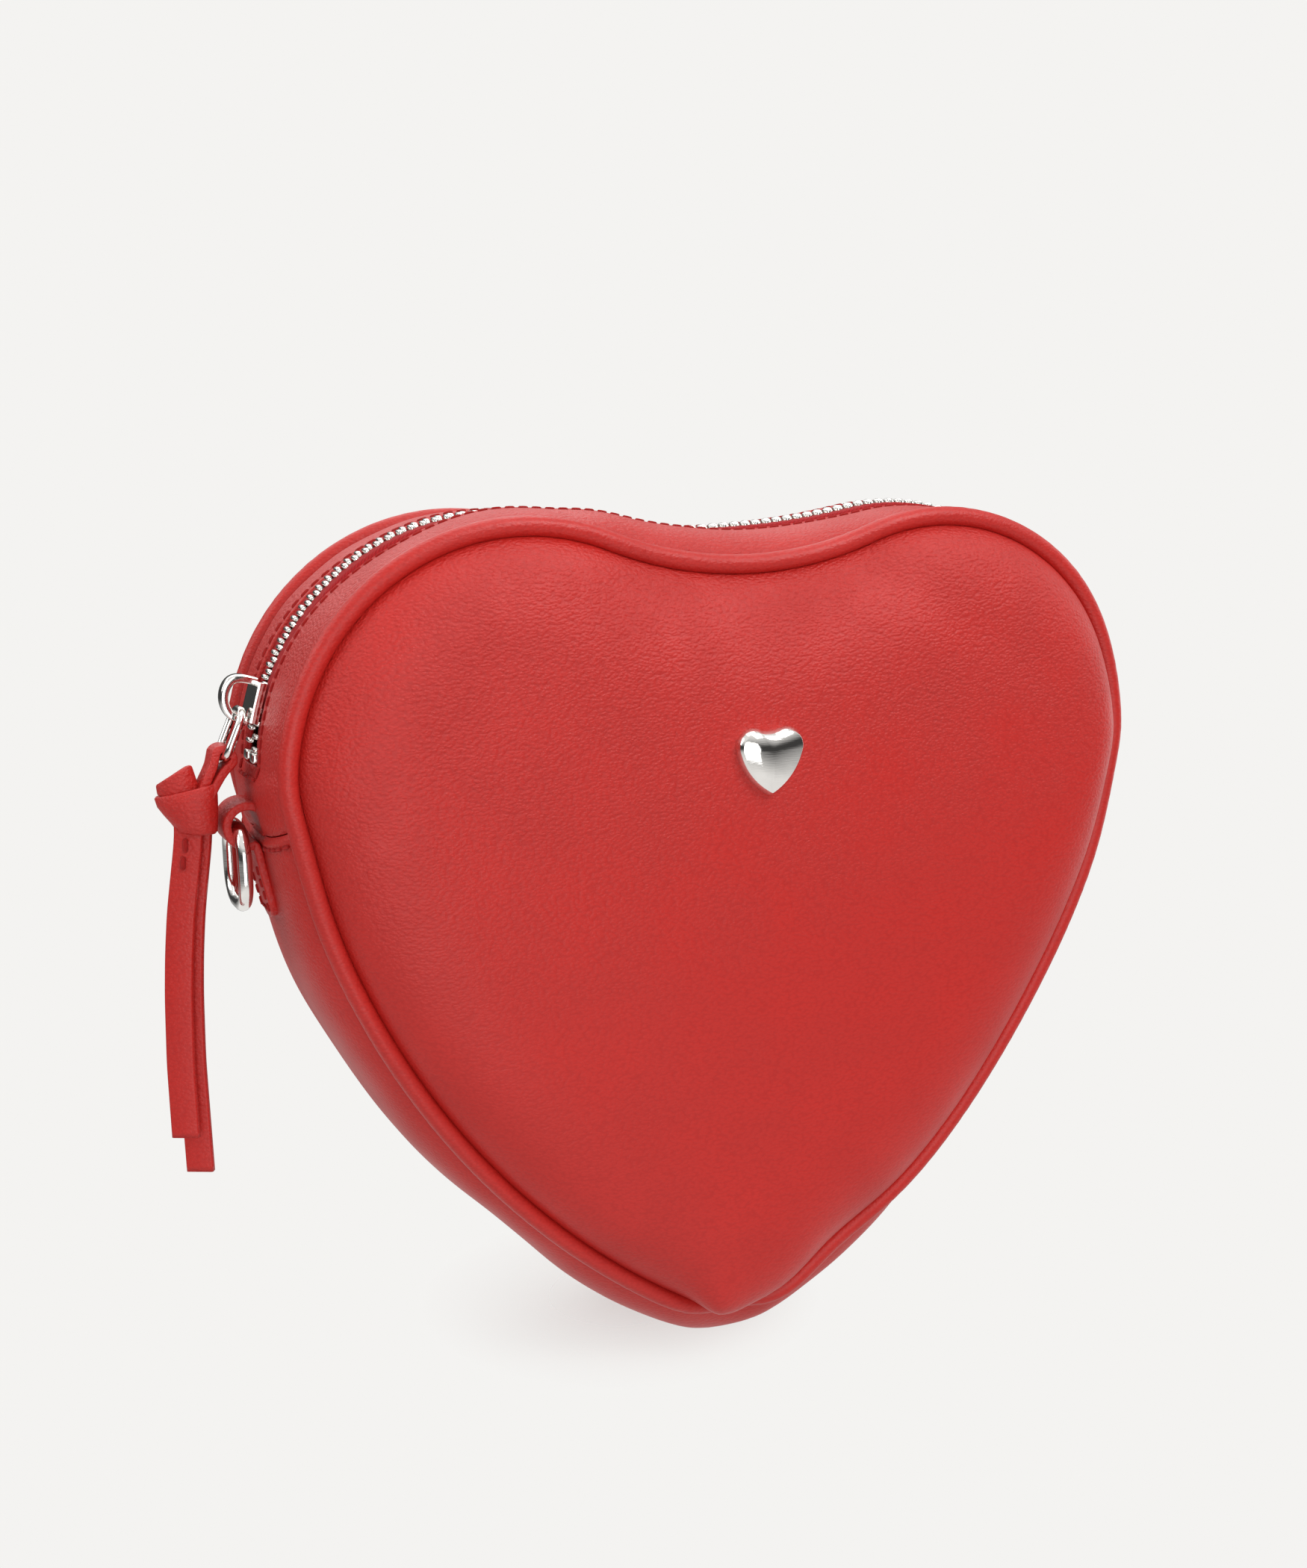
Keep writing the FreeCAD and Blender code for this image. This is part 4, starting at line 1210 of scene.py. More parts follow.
@dataclass
class Gusset:
    """Crowned side strip in two lengths, with the zip's window in the upper one."""

    finishes: Finishes
    half: float = 23.6
    near_rows: tuple[float, ...] = (
        1.7, 3.4, 4.6, 5.0, 5.3, 5.7, 6.2, 6.7, 7.0, 7.3, 7.8, 8.6, 9.8, 11.2,
    )
    far_rows: tuple[float, ...] = (
        12.8, 14.4, 16.0, 17.4, 18.6, 19.7, 20.6, 21.4, 22.1, 22.6, 23.0, 23.3,
    )
    step: float = 1.2
    edge: float = 0.35
    arch: float = 0.62
    crown_power: float = 3.2
    window_power: float = 2.4
    hem: float = 1.7
    hem_power: int = 9
    floor: float = 0.35
    slot_half: float = 5.0
    slot_end: float = 143.9
    slot_fade: float = 3.0
    groove: Ridge = Ridge(0.4, 2.1, 0.5)
    front_sink: float = 1.35
    front_stand: float = 1.5
    front_hide: Ridge = Ridge(1.0, -30.0, 31.0, 4)
    hide_above: float = 150.0
    back_sink: float = 0.8
    seam_z: float = 130.4
    puckers: tuple[Ridge, ...] = (
        Ridge(0.9, 0.0, 0.9), Ridge(0.35, -2.4, 0.8), Ridge(-0.5, -1.3, 1.2),
    )
    root_along: Ridge = Ridge(0.9, 1.5, 2.6)
    root_across: Ridge = Ridge(1.0, 0.0, 6.0, 6)
    ripple: float = 0.22
    ripple_from: float = 5.6
    ripple_over: float = 14.0
    tuck_at: Spot = Spot(26.0, 26.0, 19.0, 20.0)
    tuck_across: Ridge = Ridge(2.0, -18.5, 4.2)
    stitch_above: float = 0.3
    stitch: Triple = (3.0, 2.2, 0.45)
    window_stitch_drop: float = 2.0
    seam_stitch_drop: float = 2.4
    seam_stitches: tuple[float, float] = (6.5, 21.0)

    def rows(self) -> Array:
        """Where the strip's lengthwise lines run across it."""
        side = np.array([*self.near_rows, *self.far_rows, self.half])
        return np.concatenate([-side[::-1], [0.0], side])

    def height(self, crown: Array, y: Array, slot: Array, hide: Array) -> Array:
        """Height over the seam line.

        Args:
            crown: Height of the crown at each place along the strip.
            y: Distance from the middle of the strip.
            slot: 1 along the zip's window, 0 away from it.
            hide: 1 where the front leather stands up before the teeth.

        Returns:
            Heights in millimetres.
        """
        v = np.clip(np.abs(y) / self.half, 0, 1)
        shut = crown * (1 - v ** self.crown_power) ** self.arch
        away = np.clip(np.abs(y) - self.slot_half, 0.0, None)
        wide = np.clip(away / (self.half - self.slot_half), 0, 1)
        sink = np.where(y < 0, self.front_sink - self.front_stand * hide, self.back_sink)
        beside = (crown - sink) * (1 - wide ** self.window_power) ** self.arch
        beside = beside - self.groove.at(away)
        return shut + slot * (beside - shut) - self.hem * v ** self.hem_power

    def surface(self, above: float = 0.0) -> tuple[Array, Array, Array]:
        """Outside of the strip.

        Args:
            above: Distance from the leather.

        Returns:
            Points of the seam line, where the lengthwise lines run, and the surface as a
            grid of points along and across the strip.
        """
        points, normals = SEAM.sample(self.step)
        rows = self.rows()
        x, z = points.T
        over = z - self.seam_z
        flank = np.abs(x) > FLANK_X
        slot = np.clip((z - self.slot_end + self.slot_fade) / self.slot_fade, 0, 1)
        hide = self.front_hide.at(x) * (z > self.hide_above)
        pucker = sum(ridge.at(over) for ridge in self.puckers) * flank
        ripple = self.ripple * waves(np.arange(len(points)) * 1.0, 5, 9, 0.05, 0.5)
        crown = reach(points, normals, CROWN)
        height = self.height(crown[:, None], rows[None], slot[:, None], hide[:, None])
        height += above - pucker[:, None]
        height -= np.outer(self.root_along.at(over) * flank, self.root_across.at(rows))
        outside = np.clip((np.abs(rows) - self.ripple_from) / self.ripple_over, 0, 1)
        height += np.outer(ripple, outside)
        height += np.outer(self.tuck_at.at(x, z), self.tuck_across.at(rows))
        flat = points[:, None] + normals[:, None] * height[..., None]
        grid = at_depth(flat.reshape(-1, 2), np.tile(rows, len(points)))
        low = grid[:, 2] < self.floor
        grid[low, 2] = self.floor * (1 - np.exp(grid[low, 2] - self.floor))
        return points, rows, settled(grid).reshape(len(points), len(rows), 3)

    def build(self) -> None:
        """Make both lengths of the strip and their seams."""
        points, rows, surface = self.surface()
        columns = len(rows)
        upper, lower = [], []
        for face in grid_faces(len(points), columns, True, False):
            i, j = divmod(face[0], columns)
            high = (points[i, 1] + points[face[1] // columns, 1]) / 2
            middle = (rows[j] + rows[j + 1]) / 2
            if high < self.seam_z:
                lower.append(face)
            elif not (high > self.slot_end and abs(middle) < self.slot_half):
                upper.append(face)
        for name, part in (("upper_gusset", upper), ("lower_gusset", lower)):
            thing = outward_from(add_mesh(name + "_strip", *trim(surface.reshape(-1, 3), part)))
            thicken(thing, LEATHER_THICK, self.edge)
            seat(thing, "bag", Slot.LEATHER, self.finishes.leather, name)
        lines = self.seams(*self.surface(self.stitch_above))
        thing = outward(add_mesh("gusset_stitches", *stitched(lines, *self.stitch)))
        seat(thing, "bag", Slot.LEATHER, self.finishes.thread)

    def seams(self, points: Array, rows: Array, surface: Array) -> list[Array]:
        """Lines that the stitches follow: round the zip's window and under both side seams."""

        def crosswise(k: int, low: float, high: float) -> Array:
            """Line across the strip at one of its points."""
            return np.array([between(surface[k], rows, y) for y in np.linspace(low, high, 15)])

        aside = self.slot_half + self.groove.middle
        ends_z = self.slot_end - self.window_stitch_drop
        start, end = nearest(points, ends_z, Flank.RIGHT), nearest(points, ends_z, Flank.LEFT)
        lines = []
        for y in (-aside, aside):
            lines.append(np.array([between(surface[k], rows, y) for k in range(start, end + 1)]))
        lines += [crosswise(k, -aside, aside) for k in (start, end)]
        inner, outer = self.seam_stitches
        for flank in Flank:
            k = nearest(points, self.seam_z - self.seam_stitch_drop, flank)
            lines += [crosswise(k, -outer, -inner), crosswise(k, inner, outer)]
        return lines


@dataclass
class Piping:
    """Corded piping round one side."""

    side: Side
    finishes: Finishes
    radius: float = 2.1
    step: float = 0.9
    crimp: float = 0.035
    swell: float = 0.02

    def build(self) -> None:
        """Make the bead with the fine wrinkles of a pulled sleeve."""
        path = at_depth(SEAM.sample(self.step)[0], self.side.value * HALF_DEPTH)
        along = np.arange(len(path)) * self.step
        uneven = self.crimp * waves(along, 11, 12, 0.8, 2.6)
        uneven += self.swell * waves(along, 12, 8, 0.1, 0.5)
        points, faces = tube(settled(path), lambda k: self.radius * (1 + uneven[k]), 16, True)
        name = self.side.name.lower() + "_piping"
        thing = outward(add_mesh(name + "_bead", points, faces))
        seat(thing, "bag", Slot.LEATHER, self.finishes.beading, name)


@dataclass
class ChainLine:
    """Middle line of the zip's chain, measured from the left end of its window."""

    pitch: float = 2.7
    slider_at: float = 15.22
    slider_length: float = 8.6
    shoulder: float = 1.6
    end_spread: float = 0.6
    first: float = 5.0
    parted_to: float = 86.2
    lifts: tuple[tuple[float, float], ...] = (
        (92.0, 0.0), (102.0, -0.15), (120.0, -0.15), (138.0, 0.75),
    )
    shut_from: float = 92.0
    shut_over: float = 14.0

    def __post_init__(self) -> None:
        """Lay the line out as points, from below the left end to below the right end."""
        runs = []
        for cx, cz, radius, start, end, sign in CHAIN.arcs()[1:6]:
            angles = np.linspace(start, end, 400, endpoint=False)
            ring = np.stack([np.cos(angles), np.sin(angles)], 1)
            runs.append(np.hstack([np.array([cx, cz]) + radius * ring, sign * ring]))
        self.table = np.vstack(runs)[::-1]
        self.along = walked(self.table[:, :2])
        self.along -= self.along[nearest(self.table, CHAIN.lobe_z, Flank.LEFT)]
        self.length = float(self.along[nearest(self.table, CHAIN.lobe_z, Flank.RIGHT)])

    def at(self, along: float) -> tuple[Array, Array, Array]:
        """Point, outward direction and forward direction at a distance along the line."""
        x, z, nx, nz = between(self.table, self.along, along)
        out = unit(np.array([nx, 0.0, nz]))
        place = np.array([x, 0.0, z]) + out * np.interp(along, *np.transpose(self.lifts))
        shut = np.clip((along - self.shut_from) / self.shut_over, 0, 1)
        place = place + shut * SHUT_CROWN.at(place[None])[0]
        return place, out, np.array([out[2], 0.0, -out[0]])

    def spread(self, along: float) -> float:
        """How far each row stands aside at a distance along the line."""
        tail = self.slider_at + self.slider_length / 2
        start = self.slider_at - self.slider_length / 2
        if along >= tail:
            return 0.0
        if along >= start:
            return self.shoulder * (tail - along) / self.slider_length
        return self.shoulder + self.end_spread * (start - along) / start


@dataclass
class ZipChain:
    """Tapes, rows of teeth and end stops."""

    finishes: Finishes
    line: ChainLine = field(default_factory=ChainLine)
    past_end: float = 6.0
    throat_gap: float = 0.6
    keep: float = 0.6
    throat_keep: float = 0.8
    tooth: Triple = (1.05, 2.9, 2.2)
    tooth_edge: float = 0.38
    tooth_aside: float = 0.95
    head_length: float = 0.72
    head_width: float = 0.9
    head_height: float = 0.62
    head_edge: float = 0.25
    head_out: float = 0.1
    tape_half: float = 8.8
    tape_edge: float = 1.5
    tape_thick: float = 0.5
    tape_step: float = 1.6
    tape_rise: float = 0.3
    tape_slope: float = 0.15
    level_to: float = 4.9
    tucked: float = 6.4
    tape_last: float = 7.6
    front_fall: float = 1.55
    back_fall: float = 1.1
    stop: Triple = (2.2, 3.2, 2.7)
    stop_edge: float = 0.5
    stop_in: float = 4.0
    stop_aside: float = 1.05

    def build(self) -> None:
        """Make both halves in three stretches: the one that parts, the throat, the shut one."""
        throat = self.line.parted_to - self.line.slider_length / 2 - self.throat_gap
        stretches = (
            ("opening", -self.past_end, throat, self.keep),
            ("throat", throat, self.line.parted_to, self.throat_keep),
            ("closed", self.line.parted_to, self.line.length + self.past_end, 1.0),
        )
        for side in Side:
            name = side.name.lower()
            for stretch, low, high, keep in stretches:
                for maker, part, slot, finish in (
                    (self.teeth, "teeth", Slot.ZIP_METAL, self.finishes.nickel),
                    (self.tape, "tape", Slot.TAPE, self.finishes.tape),
                ):
                    thing = maker("zip_%s_%s_%s" % (part, name, stretch), side, low, high)
                    seat(thing, "bag", slot, finish, "zip_%s_%s" % (part, name))
                    if keep < 1:
                        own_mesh(thing)
        self.stops()

    def teeth(self, name: str, side: Side, low: float, high: float) -> Thing:
        """One row's teeth over a stretch of the chain."""
        length, width, height = self.tooth
        head_size = (length * self.head_length, self.head_width, height * self.head_height)
        head, head_faces = soft_block(head_size, self.head_edge, 1)
        head = head + [0.0, width / 2 + self.head_out, 0.0]
        small = merged([soft_block(self.tooth, self.tooth_edge, 2), (head, head_faces)])
        inward = np.array([0.0, -float(side.value), 0.0])
        places = []
        for k in range(int((self.line.length - 2 * self.line.first) / self.line.pitch)):
            along = self.line.first + self.line.pitch * ((side.value + 2) / 4 + k)
            if low <= along < high:
                centre, out, forward = self.line.at(along)
                aside = side.value * (self.line.spread(along) + self.tooth_aside)
                axes = np.stack([forward, inward, out], 1)
                places.append((centre + [0.0, aside, 0.0], axes))
        return outward(add_mesh(name, *many(*small, places)))

    def tape(self, name: str, side: Side, low: float, high: float) -> Thing:
        """One half's tape over a stretch of the chain."""
        runs = np.linspace(low, high, max(6, int((high - low) / self.tape_step)))
        fall = self.front_fall if side is Side.FRONT else self.back_fall
        dive = np.linspace(self.level_to, self.tucked, 5)[1:]
        points = []
        for along in runs:
            centre, out, _ = self.line.at(along)
            edge = self.tape_edge + self.line.spread(max(along, 0.0))
            level = np.linspace(edge, self.level_to, 4)
            for y in (*level, *dive, self.tape_last, self.tape_half):
                under = np.clip((y - self.level_to) / (self.tucked - self.level_to), 0, 1)
                rise = self.tape_rise - self.tape_slope * (y - edge) / (self.tape_half - edge)
                rise -= fall * under * under * (3 - 2 * under)
                points.append(centre + out * rise + [0.0, side.value * y, 0.0])
        faces = grid_faces(len(runs), len(points) // len(runs), False, False)
        return thicken(outward_from(add_mesh(name, np.array(points), faces)), self.tape_thick)

    def stops(self) -> None:
        """Metal stops at both ends."""
        places = []
        for side in Side:
            for along in (self.stop_in, self.line.length - self.stop_in):
                centre, out, forward = self.line.at(along)
                aside = side.value * (self.line.spread(along) + self.stop_aside)
                axes = np.stack([forward, ALONG_Y, out], 1)
                places.append((centre + [0.0, aside, 0.0], axes))
        small = soft_block(self.stop, self.stop_edge, 3)
        thing = outward(add_mesh("zip_stops", *many(*small, places)))
        seat(thing, "bag", Slot.ZIP_METAL, self.finishes.nickel, "zip_end_stops")


def rounded_copy(frame: dict, node: str, name: str, edge: float) -> Thing:
    """New piece from a solid's mesh, with its sharp edges rounded.

    Args:
        frame: The loaded frame.
        node: The solid to copy.
        name: Name of the new piece.
        edge: Radius of the edges in millimetres.

    Returns:
        The new piece.
    """
    mesh = frame["nodes"][node].data.copy()
    thing = linked(name, mesh)
    with editing(mesh) as work:
        bmesh.ops.remove_doubles(work, verts=work.verts, dist=1e-6)
        bmesh.ops.dissolve_limit(
            work, angle_limit=math.radians(1), verts=work.verts, edges=work.edges,
        )
    add_bevel(thing, edge, 3, 35.0)
    return sharpen(settle(thing), 30.0)


def loop_path(half: float, height: float, corner: float) -> Array:
    """Upright rounded rectangle about the X axis.

    Args:
        half: Half its width.
        height: Its height.
        corner: Radius of its corners.

    Returns:
        Points, n by 3, with the top's middle at the origin.
    """
    top, low, aside = -corner, corner - height, half - corner
    points = []
    corners = ((aside, top, 90), (aside, low, 0), (-aside, low, -90), (-aside, top, -180))
    for cy, cz, start in corners:
        for angle in np.radians(np.linspace(start, start - 90, 9)):
            points.append((0.0, cy + corner * math.cos(angle), cz + corner * math.sin(angle)))
    path = np.array(points)
    dense = []
    for a, b in zip(path, np.roll(path, -1, 0)):
        count = max(1, int(np.linalg.norm(b - a) / 0.5))
        dense += [a + (b - a) * k / count for k in range(count)]
    return np.array(dense)


def turned_y(points: Array, degrees: float) -> Array:
    """Points turned about the Y axis."""
    a = math.radians(degrees)
    x = points[:, 0] * math.cos(a) + points[:, 2] * math.sin(a)
    z = -points[:, 0] * math.sin(a) + points[:, 2] * math.cos(a)
    return np.stack([x, points[:, 1], z], 1)


def smoothed(path: Array, rounds: int = 2) -> Array:
    """Path with its corners cut, ends kept."""
    for _ in range(rounds):
        first = 0.75 * path[:-1] + 0.25 * path[1:]
        second = 0.25 * path[:-1] + 0.75 * path[1:]
        inner = np.stack([first, second], 1).reshape(-1, path.shape[1])
        path = np.vstack([path[:1], inner[1:-1], path[-1:]])
    return path


def ribbon(
    path: Array, across: Array | Triple, width: Array | float, thick: float,
    edge: float = 0.45, closed: bool = False,
) -> Mesh:
    """Flat strap with rounded edges along a path.

    Args:
        path: Middle line, n by 3.
        across: Direction of its width at each point, n by 3 or one direction.
        width: Width at each point, or one width.
        thick: Thickness.
        edge: Radius of the edges.
        closed: Whether the path closes on itself.

    Returns:
        Points and faces.
    """
    widths = np.broadcast_to(np.asarray(width, float), (len(path),))
    tangent = tangents(path, closed)
    across = np.broadcast_to(np.asarray(across, float), path.shape)
    across = unit(across - tangent * (across * tangent).sum(1)[:, None])
    out = np.cross(tangent, across)
    corner = np.radians([0, 30, 60, 90])
    points = []
    for k in range(len(path)):
        half, h = widths[k] / 2, thick / 2
        r = min(edge, half * 0.9, h * 0.95)
        ring = []
        for sw, sh in ((1, 1), (-1, 1), (-1, -1), (1, -1)):
            for a in corner if sw * sh > 0 else corner[::-1]:
                ring.append((sw * (half - r + r * math.cos(a)), sh * (h - r + r * math.sin(a))))
            if sw * sh > 0:
                ring.append((0.0, sh * h))
        points += [path[k] + across[k] * w + out[k] * t for w, t in ring]
    return np.array(points), swept_faces(len(path), len(points) // len(path), closed)


BRIDGE_BAR = (  # forward and out from the slider's middle
    (4.1, 2.2), (4.15, 5.2), (3.3, 7.3), (1.0, 8.1),
    (-1.6, 7.7), (-3.7, 6.1), (-4.45, 4.0), (-4.3, 2.2),
)
FOLD_OVAL = (-0.1, 2.1, 3.2, 2.3, 0.328125)  # right, up, half width, half depth, slope
CUP_OVALS = (  # the same, from the inside over the rim and down
    (1.8, -2.4, 4.4, 2.2, 0.2),
    (1.7, 0.5, 5.1, 2.9, 0.22),
    (1.66, 0.95, 5.6, 3.3, 0.225),
    (1.65, 1.0, 6.1, 3.7, 0.225),
    (1.7, 0.6, 6.5, 4.0, 0.22),
    (2.0, -1.4, 6.3, 4.2, 0.18),
    (2.6, -3.8, 5.6, 4.1, 0.08),
    (3.2, -6.0, 4.8, 3.7, -0.02),
    (3.5, -7.4, 4.3, 3.3, -0.06),
    (3.6, -7.9, 3.8, 2.9, -0.06),
    (3.6, -8.0, 3.0, 2.2, -0.06),
)
SWAY = (  # down from the knot, and to the right
    (0, 2.5), (9, 2.2), (16, 1.0), (25, -0.5), (34, -1.5), (43, -2.2), (58, -2.8), (90, -2.7),
)
TAILS = ((74.2, 0.0, 1.2), (83.2, 1.5, -1.2))  # drop, right and near of each hanging end
KNOT_STITCHES = (  # both ends of each: right, up and near
    ((1.75, -8.8, 2.3), (1.55, -11.6, 2.3)),
    ((1.1, -12.6, 2.35), (0.75, -15.4, 2.35)),
)


@dataclass
class SliderAndPull:
    """Slider, its bridge, the oval link and the knotted thong."""

    finishes: Finishes
    frame: dict
    plate_edge: float = 0.3
    bridge_width: float = 3.2
    bridge_thick: float = 1.7
    bridge_edge: float = 0.4
    link_size: Triple = (4.3, 10.6, 3.1)
    link_wire: float = 0.85
    link_top: Triple = (-103.69, 0.0, 155.73)
    link_low: Triple = (-108.0, 0.0, 146.05)
    lean: float = 24.0
    knot: Triple = (-117.4, 0.0, 139.05)
    turn: float = 62.0
    width: float = 5.9
    thick: float = 1.8
    neck_root: Triple = (4.9, -0.6, 0.0)
    neck_bend: float = 2.0
    neck_pinch: tuple[float, float] = (3.0, 1.1)
    fold_width: tuple[float, float] = (2.5, 3.4)
    fold_lean: tuple[float, float] = (-0.08, -0.2)
    fold_edge: float = 0.6
    oval_points: int = 44
    tail_points: int = 60
    stitch: Triple = (3.0, 3.0, 0.62)

    def build(self) -> None:
        """Make every piece, each on its own body."""
        polished = self.finishes.polished
        plate = rounded_copy(self.frame, "zip_slider", "slider_plates", self.plate_edge)
        seat(plate, "slider", Slot.ZIP_METAL, polished, "zip_slider")
        seat(self.bridge(), "slider", Slot.ZIP_METAL, polished, "zip_slider_crown")
        path = turned_y(loop_path(*self.link_size), self.lean) + np.array(self.link_top)
        link = outward(add_mesh("link_wire", *tube(path, self.link_wire, 14, True)))
        seat(link, "link", Slot.ZIP_METAL, polished, "pull_link")
        parts = [self.neck(), self.fold(), self.cup(), *self.tails()]
        thong = outward(add_mesh("thong", *merged(parts)))
        seat(thong, "pull", Slot.LEATHER, self.finishes.leather, "pull_strap")
        lines = [np.array([self.place(*end) for end in ends]) for ends in KNOT_STITCHES]
        thread = outward(add_mesh("thong_stitches", *stitched(lines, *self.stitch)))
        seat(thread, "pull", Slot.LEATHER, self.finishes.thread)

    def bridge(self) -> Thing:
        """Flat-bar bridge from the slider's upper end to its lower end."""
        line = ChainLine()
        centre, out, forward = line.at(line.slider_at)
        path = smoothed(np.array([centre + forward * f + out * o for f, o in BRIDGE_BAR]), 3)
        mesh = ribbon(path, ALONG_Y, self.bridge_width, self.bridge_thick, self.bridge_edge)
        return sharpen(outward(add_mesh("slider_bridge", *mesh)), 40.0)

    def place(self, right: float, up: float, near: float) -> Array:
        """Point by its distances from the knot's middle, as the knot is turned to the viewer."""
        a = math.radians(self.turn)
        across = np.array([math.sin(a), -math.cos(a), 0.0])
        out = np.array([-math.cos(a), -math.sin(a), 0.0])
        return np.array(self.knot) + across * right + out * near + np.array([0.0, 0.0, up])

    def oval(self, right: float, up: float, half: float, deep: float, slope: float) -> Array:
        """Sloping oval round the knot.

        Args:
            right: Its middle, to the right of the knot's.
            up: Its middle, above the knot's.
            half: Half its width.
            deep: Half its depth.
            slope: How it rises to the right.

        Returns:
            Points, n by 3.
        """
        points = []
        for t in round_angles(self.oval_points):
            aside = half * math.cos(t)
            points.append(self.place(right + aside, up + slope * aside, deep * math.sin(t)))
        return np.array(points)

    def neck(self) -> Mesh:
        """Doubled strip from the knot round the link's lower bar and back."""
        low, root = np.array(self.link_low), self.place(*self.neck_root)
        way = unit(root - low)
        side = np.array([-way[2], 0.0, way[0]])
        bend = []
        for angle in np.radians(np.linspace(90, -90, 11)):
            bend.append(low + self.neck_bend * (math.sin(angle) * side - math.cos(angle) * way))
        pinch, aside = low + way * self.neck_pinch[0], side * self.neck_pinch[1]
        path = np.vstack([root + side, pinch + aside, bend, pinch - aside, root - side])
        return ribbon(smoothed(path), ALONG_Y, self.width, self.thick)

    def fold(self) -> Mesh:
        """Upper turn of the knot, a band that widens to the right and sits in the cup."""
        share = (1 + np.cos(round_angles(self.oval_points))) / 2
        middle = self.place(0.0, 0.0, 0.0)
        lean, more = self.fold_lean
        axis = np.array([self.place(lean + more * k, 1.0, 0.0) - middle for k in share])
        narrow, wider = self.fold_width
        widths = narrow + wider * share
        return ribbon(self.oval(*FOLD_OVAL), axis, widths, self.thick, self.fold_edge, True)

    def cup(self) -> Mesh:
        """Lower turn of the knot, a band that narrows downwards like a cup."""
        points = np.vstack([self.oval(*oval) for oval in CUP_OVALS])
        return points, swept_faces(len(CUP_OVALS), self.oval_points, False)

    def tails(self) -> list[Mesh]:
        """The two hanging ends."""
        across = self.place(1.0, 0.0, 0.0) - self.place(0.0, 0.0, 0.0)
        parts = []
        for drop, right, near in TAILS:
            path = []
            for share in np.linspace(0, 1, self.tail_points):
                sway = np.interp(share * drop, *np.transpose(SWAY))
                aside = sway + right * (0.7 + 0.3 * share)
                path.append(self.place(aside, -share * drop, near * (1 + 0.4 * share)))
            path = np.array(path)
            for _ in range(6):
                path[1:-1] = (path[:-2] + 2 * path[1:-1] + path[2:]) / 4
            parts.append(ribbon(path, across, self.width, self.thick))
        return parts


@dataclass
class RingMount:
    """Leather tab and strap ring of one flank, laid out on the right."""

    flank: Flank
    finishes: Finishes
    eye: tuple[float, float] = (106.07, 131.9)
    loop_off: tuple[float, float] = (-1.75, 0.1)
    loop: float = 4.3
    loop_turn: tuple[float, float] = (215.0, -110.0)
    width: float = 10.0
    end_width: float = 0.6
    thick: float = 1.8
    edge: float = 0.5
    tongue_out: float = 0.9
    tongue_top: float = 125.5
    tongue_z: float = 110.9
    stitch: Triple = (2.8, 2.0, 0.34)
    stitch_out: float = 1.9
    stitch_top: float = 124.0
    stitch_from_end: float = 2.4
    stitch_from_edge: float = 1.5
    ring_size: Triple = (7.7, 16.4, 6.0)
    ring_wire: float = 1.5
    ring_drop: float = 0.4

    def build(self) -> None:
        """Make the tab and the ring."""
        name = self.flank.name.lower()
        path = self.path()
        strap = ribbon(path, ALONG_Y, self.widths(path), self.thick, self.edge)
        tab = self.piece("tab_strap_" + name, *strap)
        seat(tab, "bag", Slot.LEATHER, self.finishes.leather, "tab_" + name)
        thread = self.piece("tab_stitches_" + name, *stitched([self.seam()], *self.stitch))
        seat(thread, "bag", Slot.LEATHER, self.finishes.thread)
        loop = loop_path(*self.ring_size) + [self.eye[0], 0.0, self.eye[1] - self.ring_drop]
        ring = self.piece("ring_" + name, *tube(loop, self.ring_wire, 18, True))
        seat(ring, "ring_" + name, Slot.RING_METAL, self.finishes.polished, "strap_ring_" + name)

    def piece(self, name: str, points: Array, faces: Faces) -> Thing:
        """Closed mesh, mirrored where the mount is on the left."""
        return outward(add_mesh(name, points * [self.flank.value, 1, 1], faces))

    def tongue(self, out: float, top: float, low: float) -> Array:
        """Part of the side strip's crown line.

        Args:
            out: Distance from the crown.
            top: Height of its upper end.
            low: Height of its lower end.

        Returns:
            Points from the upper end down, n by 2.
        """
        line = CROWN.inset(-out).sample(0.6)[0]
        line = line[(line[:, 0] > FLANK_X) & (line[:, 1] < top) & (line[:, 1] > low)]
        return line[np.argsort(-line[:, 1])]

    def path(self) -> Array:
        """Middle line of the tab, from its root round the loop to the tongue's end."""
        angles = np.radians(np.linspace(*self.loop_turn, 30))
        turn = np.stack([np.cos(angles), np.sin(angles)], 1)
        arc = np.array(self.eye) + self.loop_off + self.loop * turn
        tongue = self.tongue(self.tongue_out, self.tongue_top, self.tongue_z)
        return smoothed(at_depth(np.vstack([arc, tongue]), 0.0))

    def seam(self) -> Array:
        """Line of stitches down both edges of the tongue and round its end."""
        low = self.tongue_z + self.stitch_from_end
        line = self.tongue(self.stitch_out, self.stitch_top, low)
        aside = self.width / 2 - self.stitch_from_edge
        edge = at_depth(line, aside)
        turned = at_depth(np.tile(line[-1], (9, 1)), np.linspace(aside, -aside, 9))
        return np.vstack([edge, turned, edge[::-1] * [1, -1, 1]])

    def widths(self, path: Array) -> Array:
        """Width along the tab, round at the tongue's end."""
        half, steps = self.width / 2, walked(path)
        into_end = np.clip(half - (steps[-1] - steps), 0, half)
        return np.maximum(2 * np.sqrt(half ** 2 - into_end ** 2), self.end_width)


STUD_RINGS = (  # inset on the large outline, and share of the thickness
    (0.0, 0.0), (0.0, 0.3), (1.0, 0.42), (3.0, 0.54), (6.5, 0.7), (10.0, 0.82), (13.0, 0.9),
)


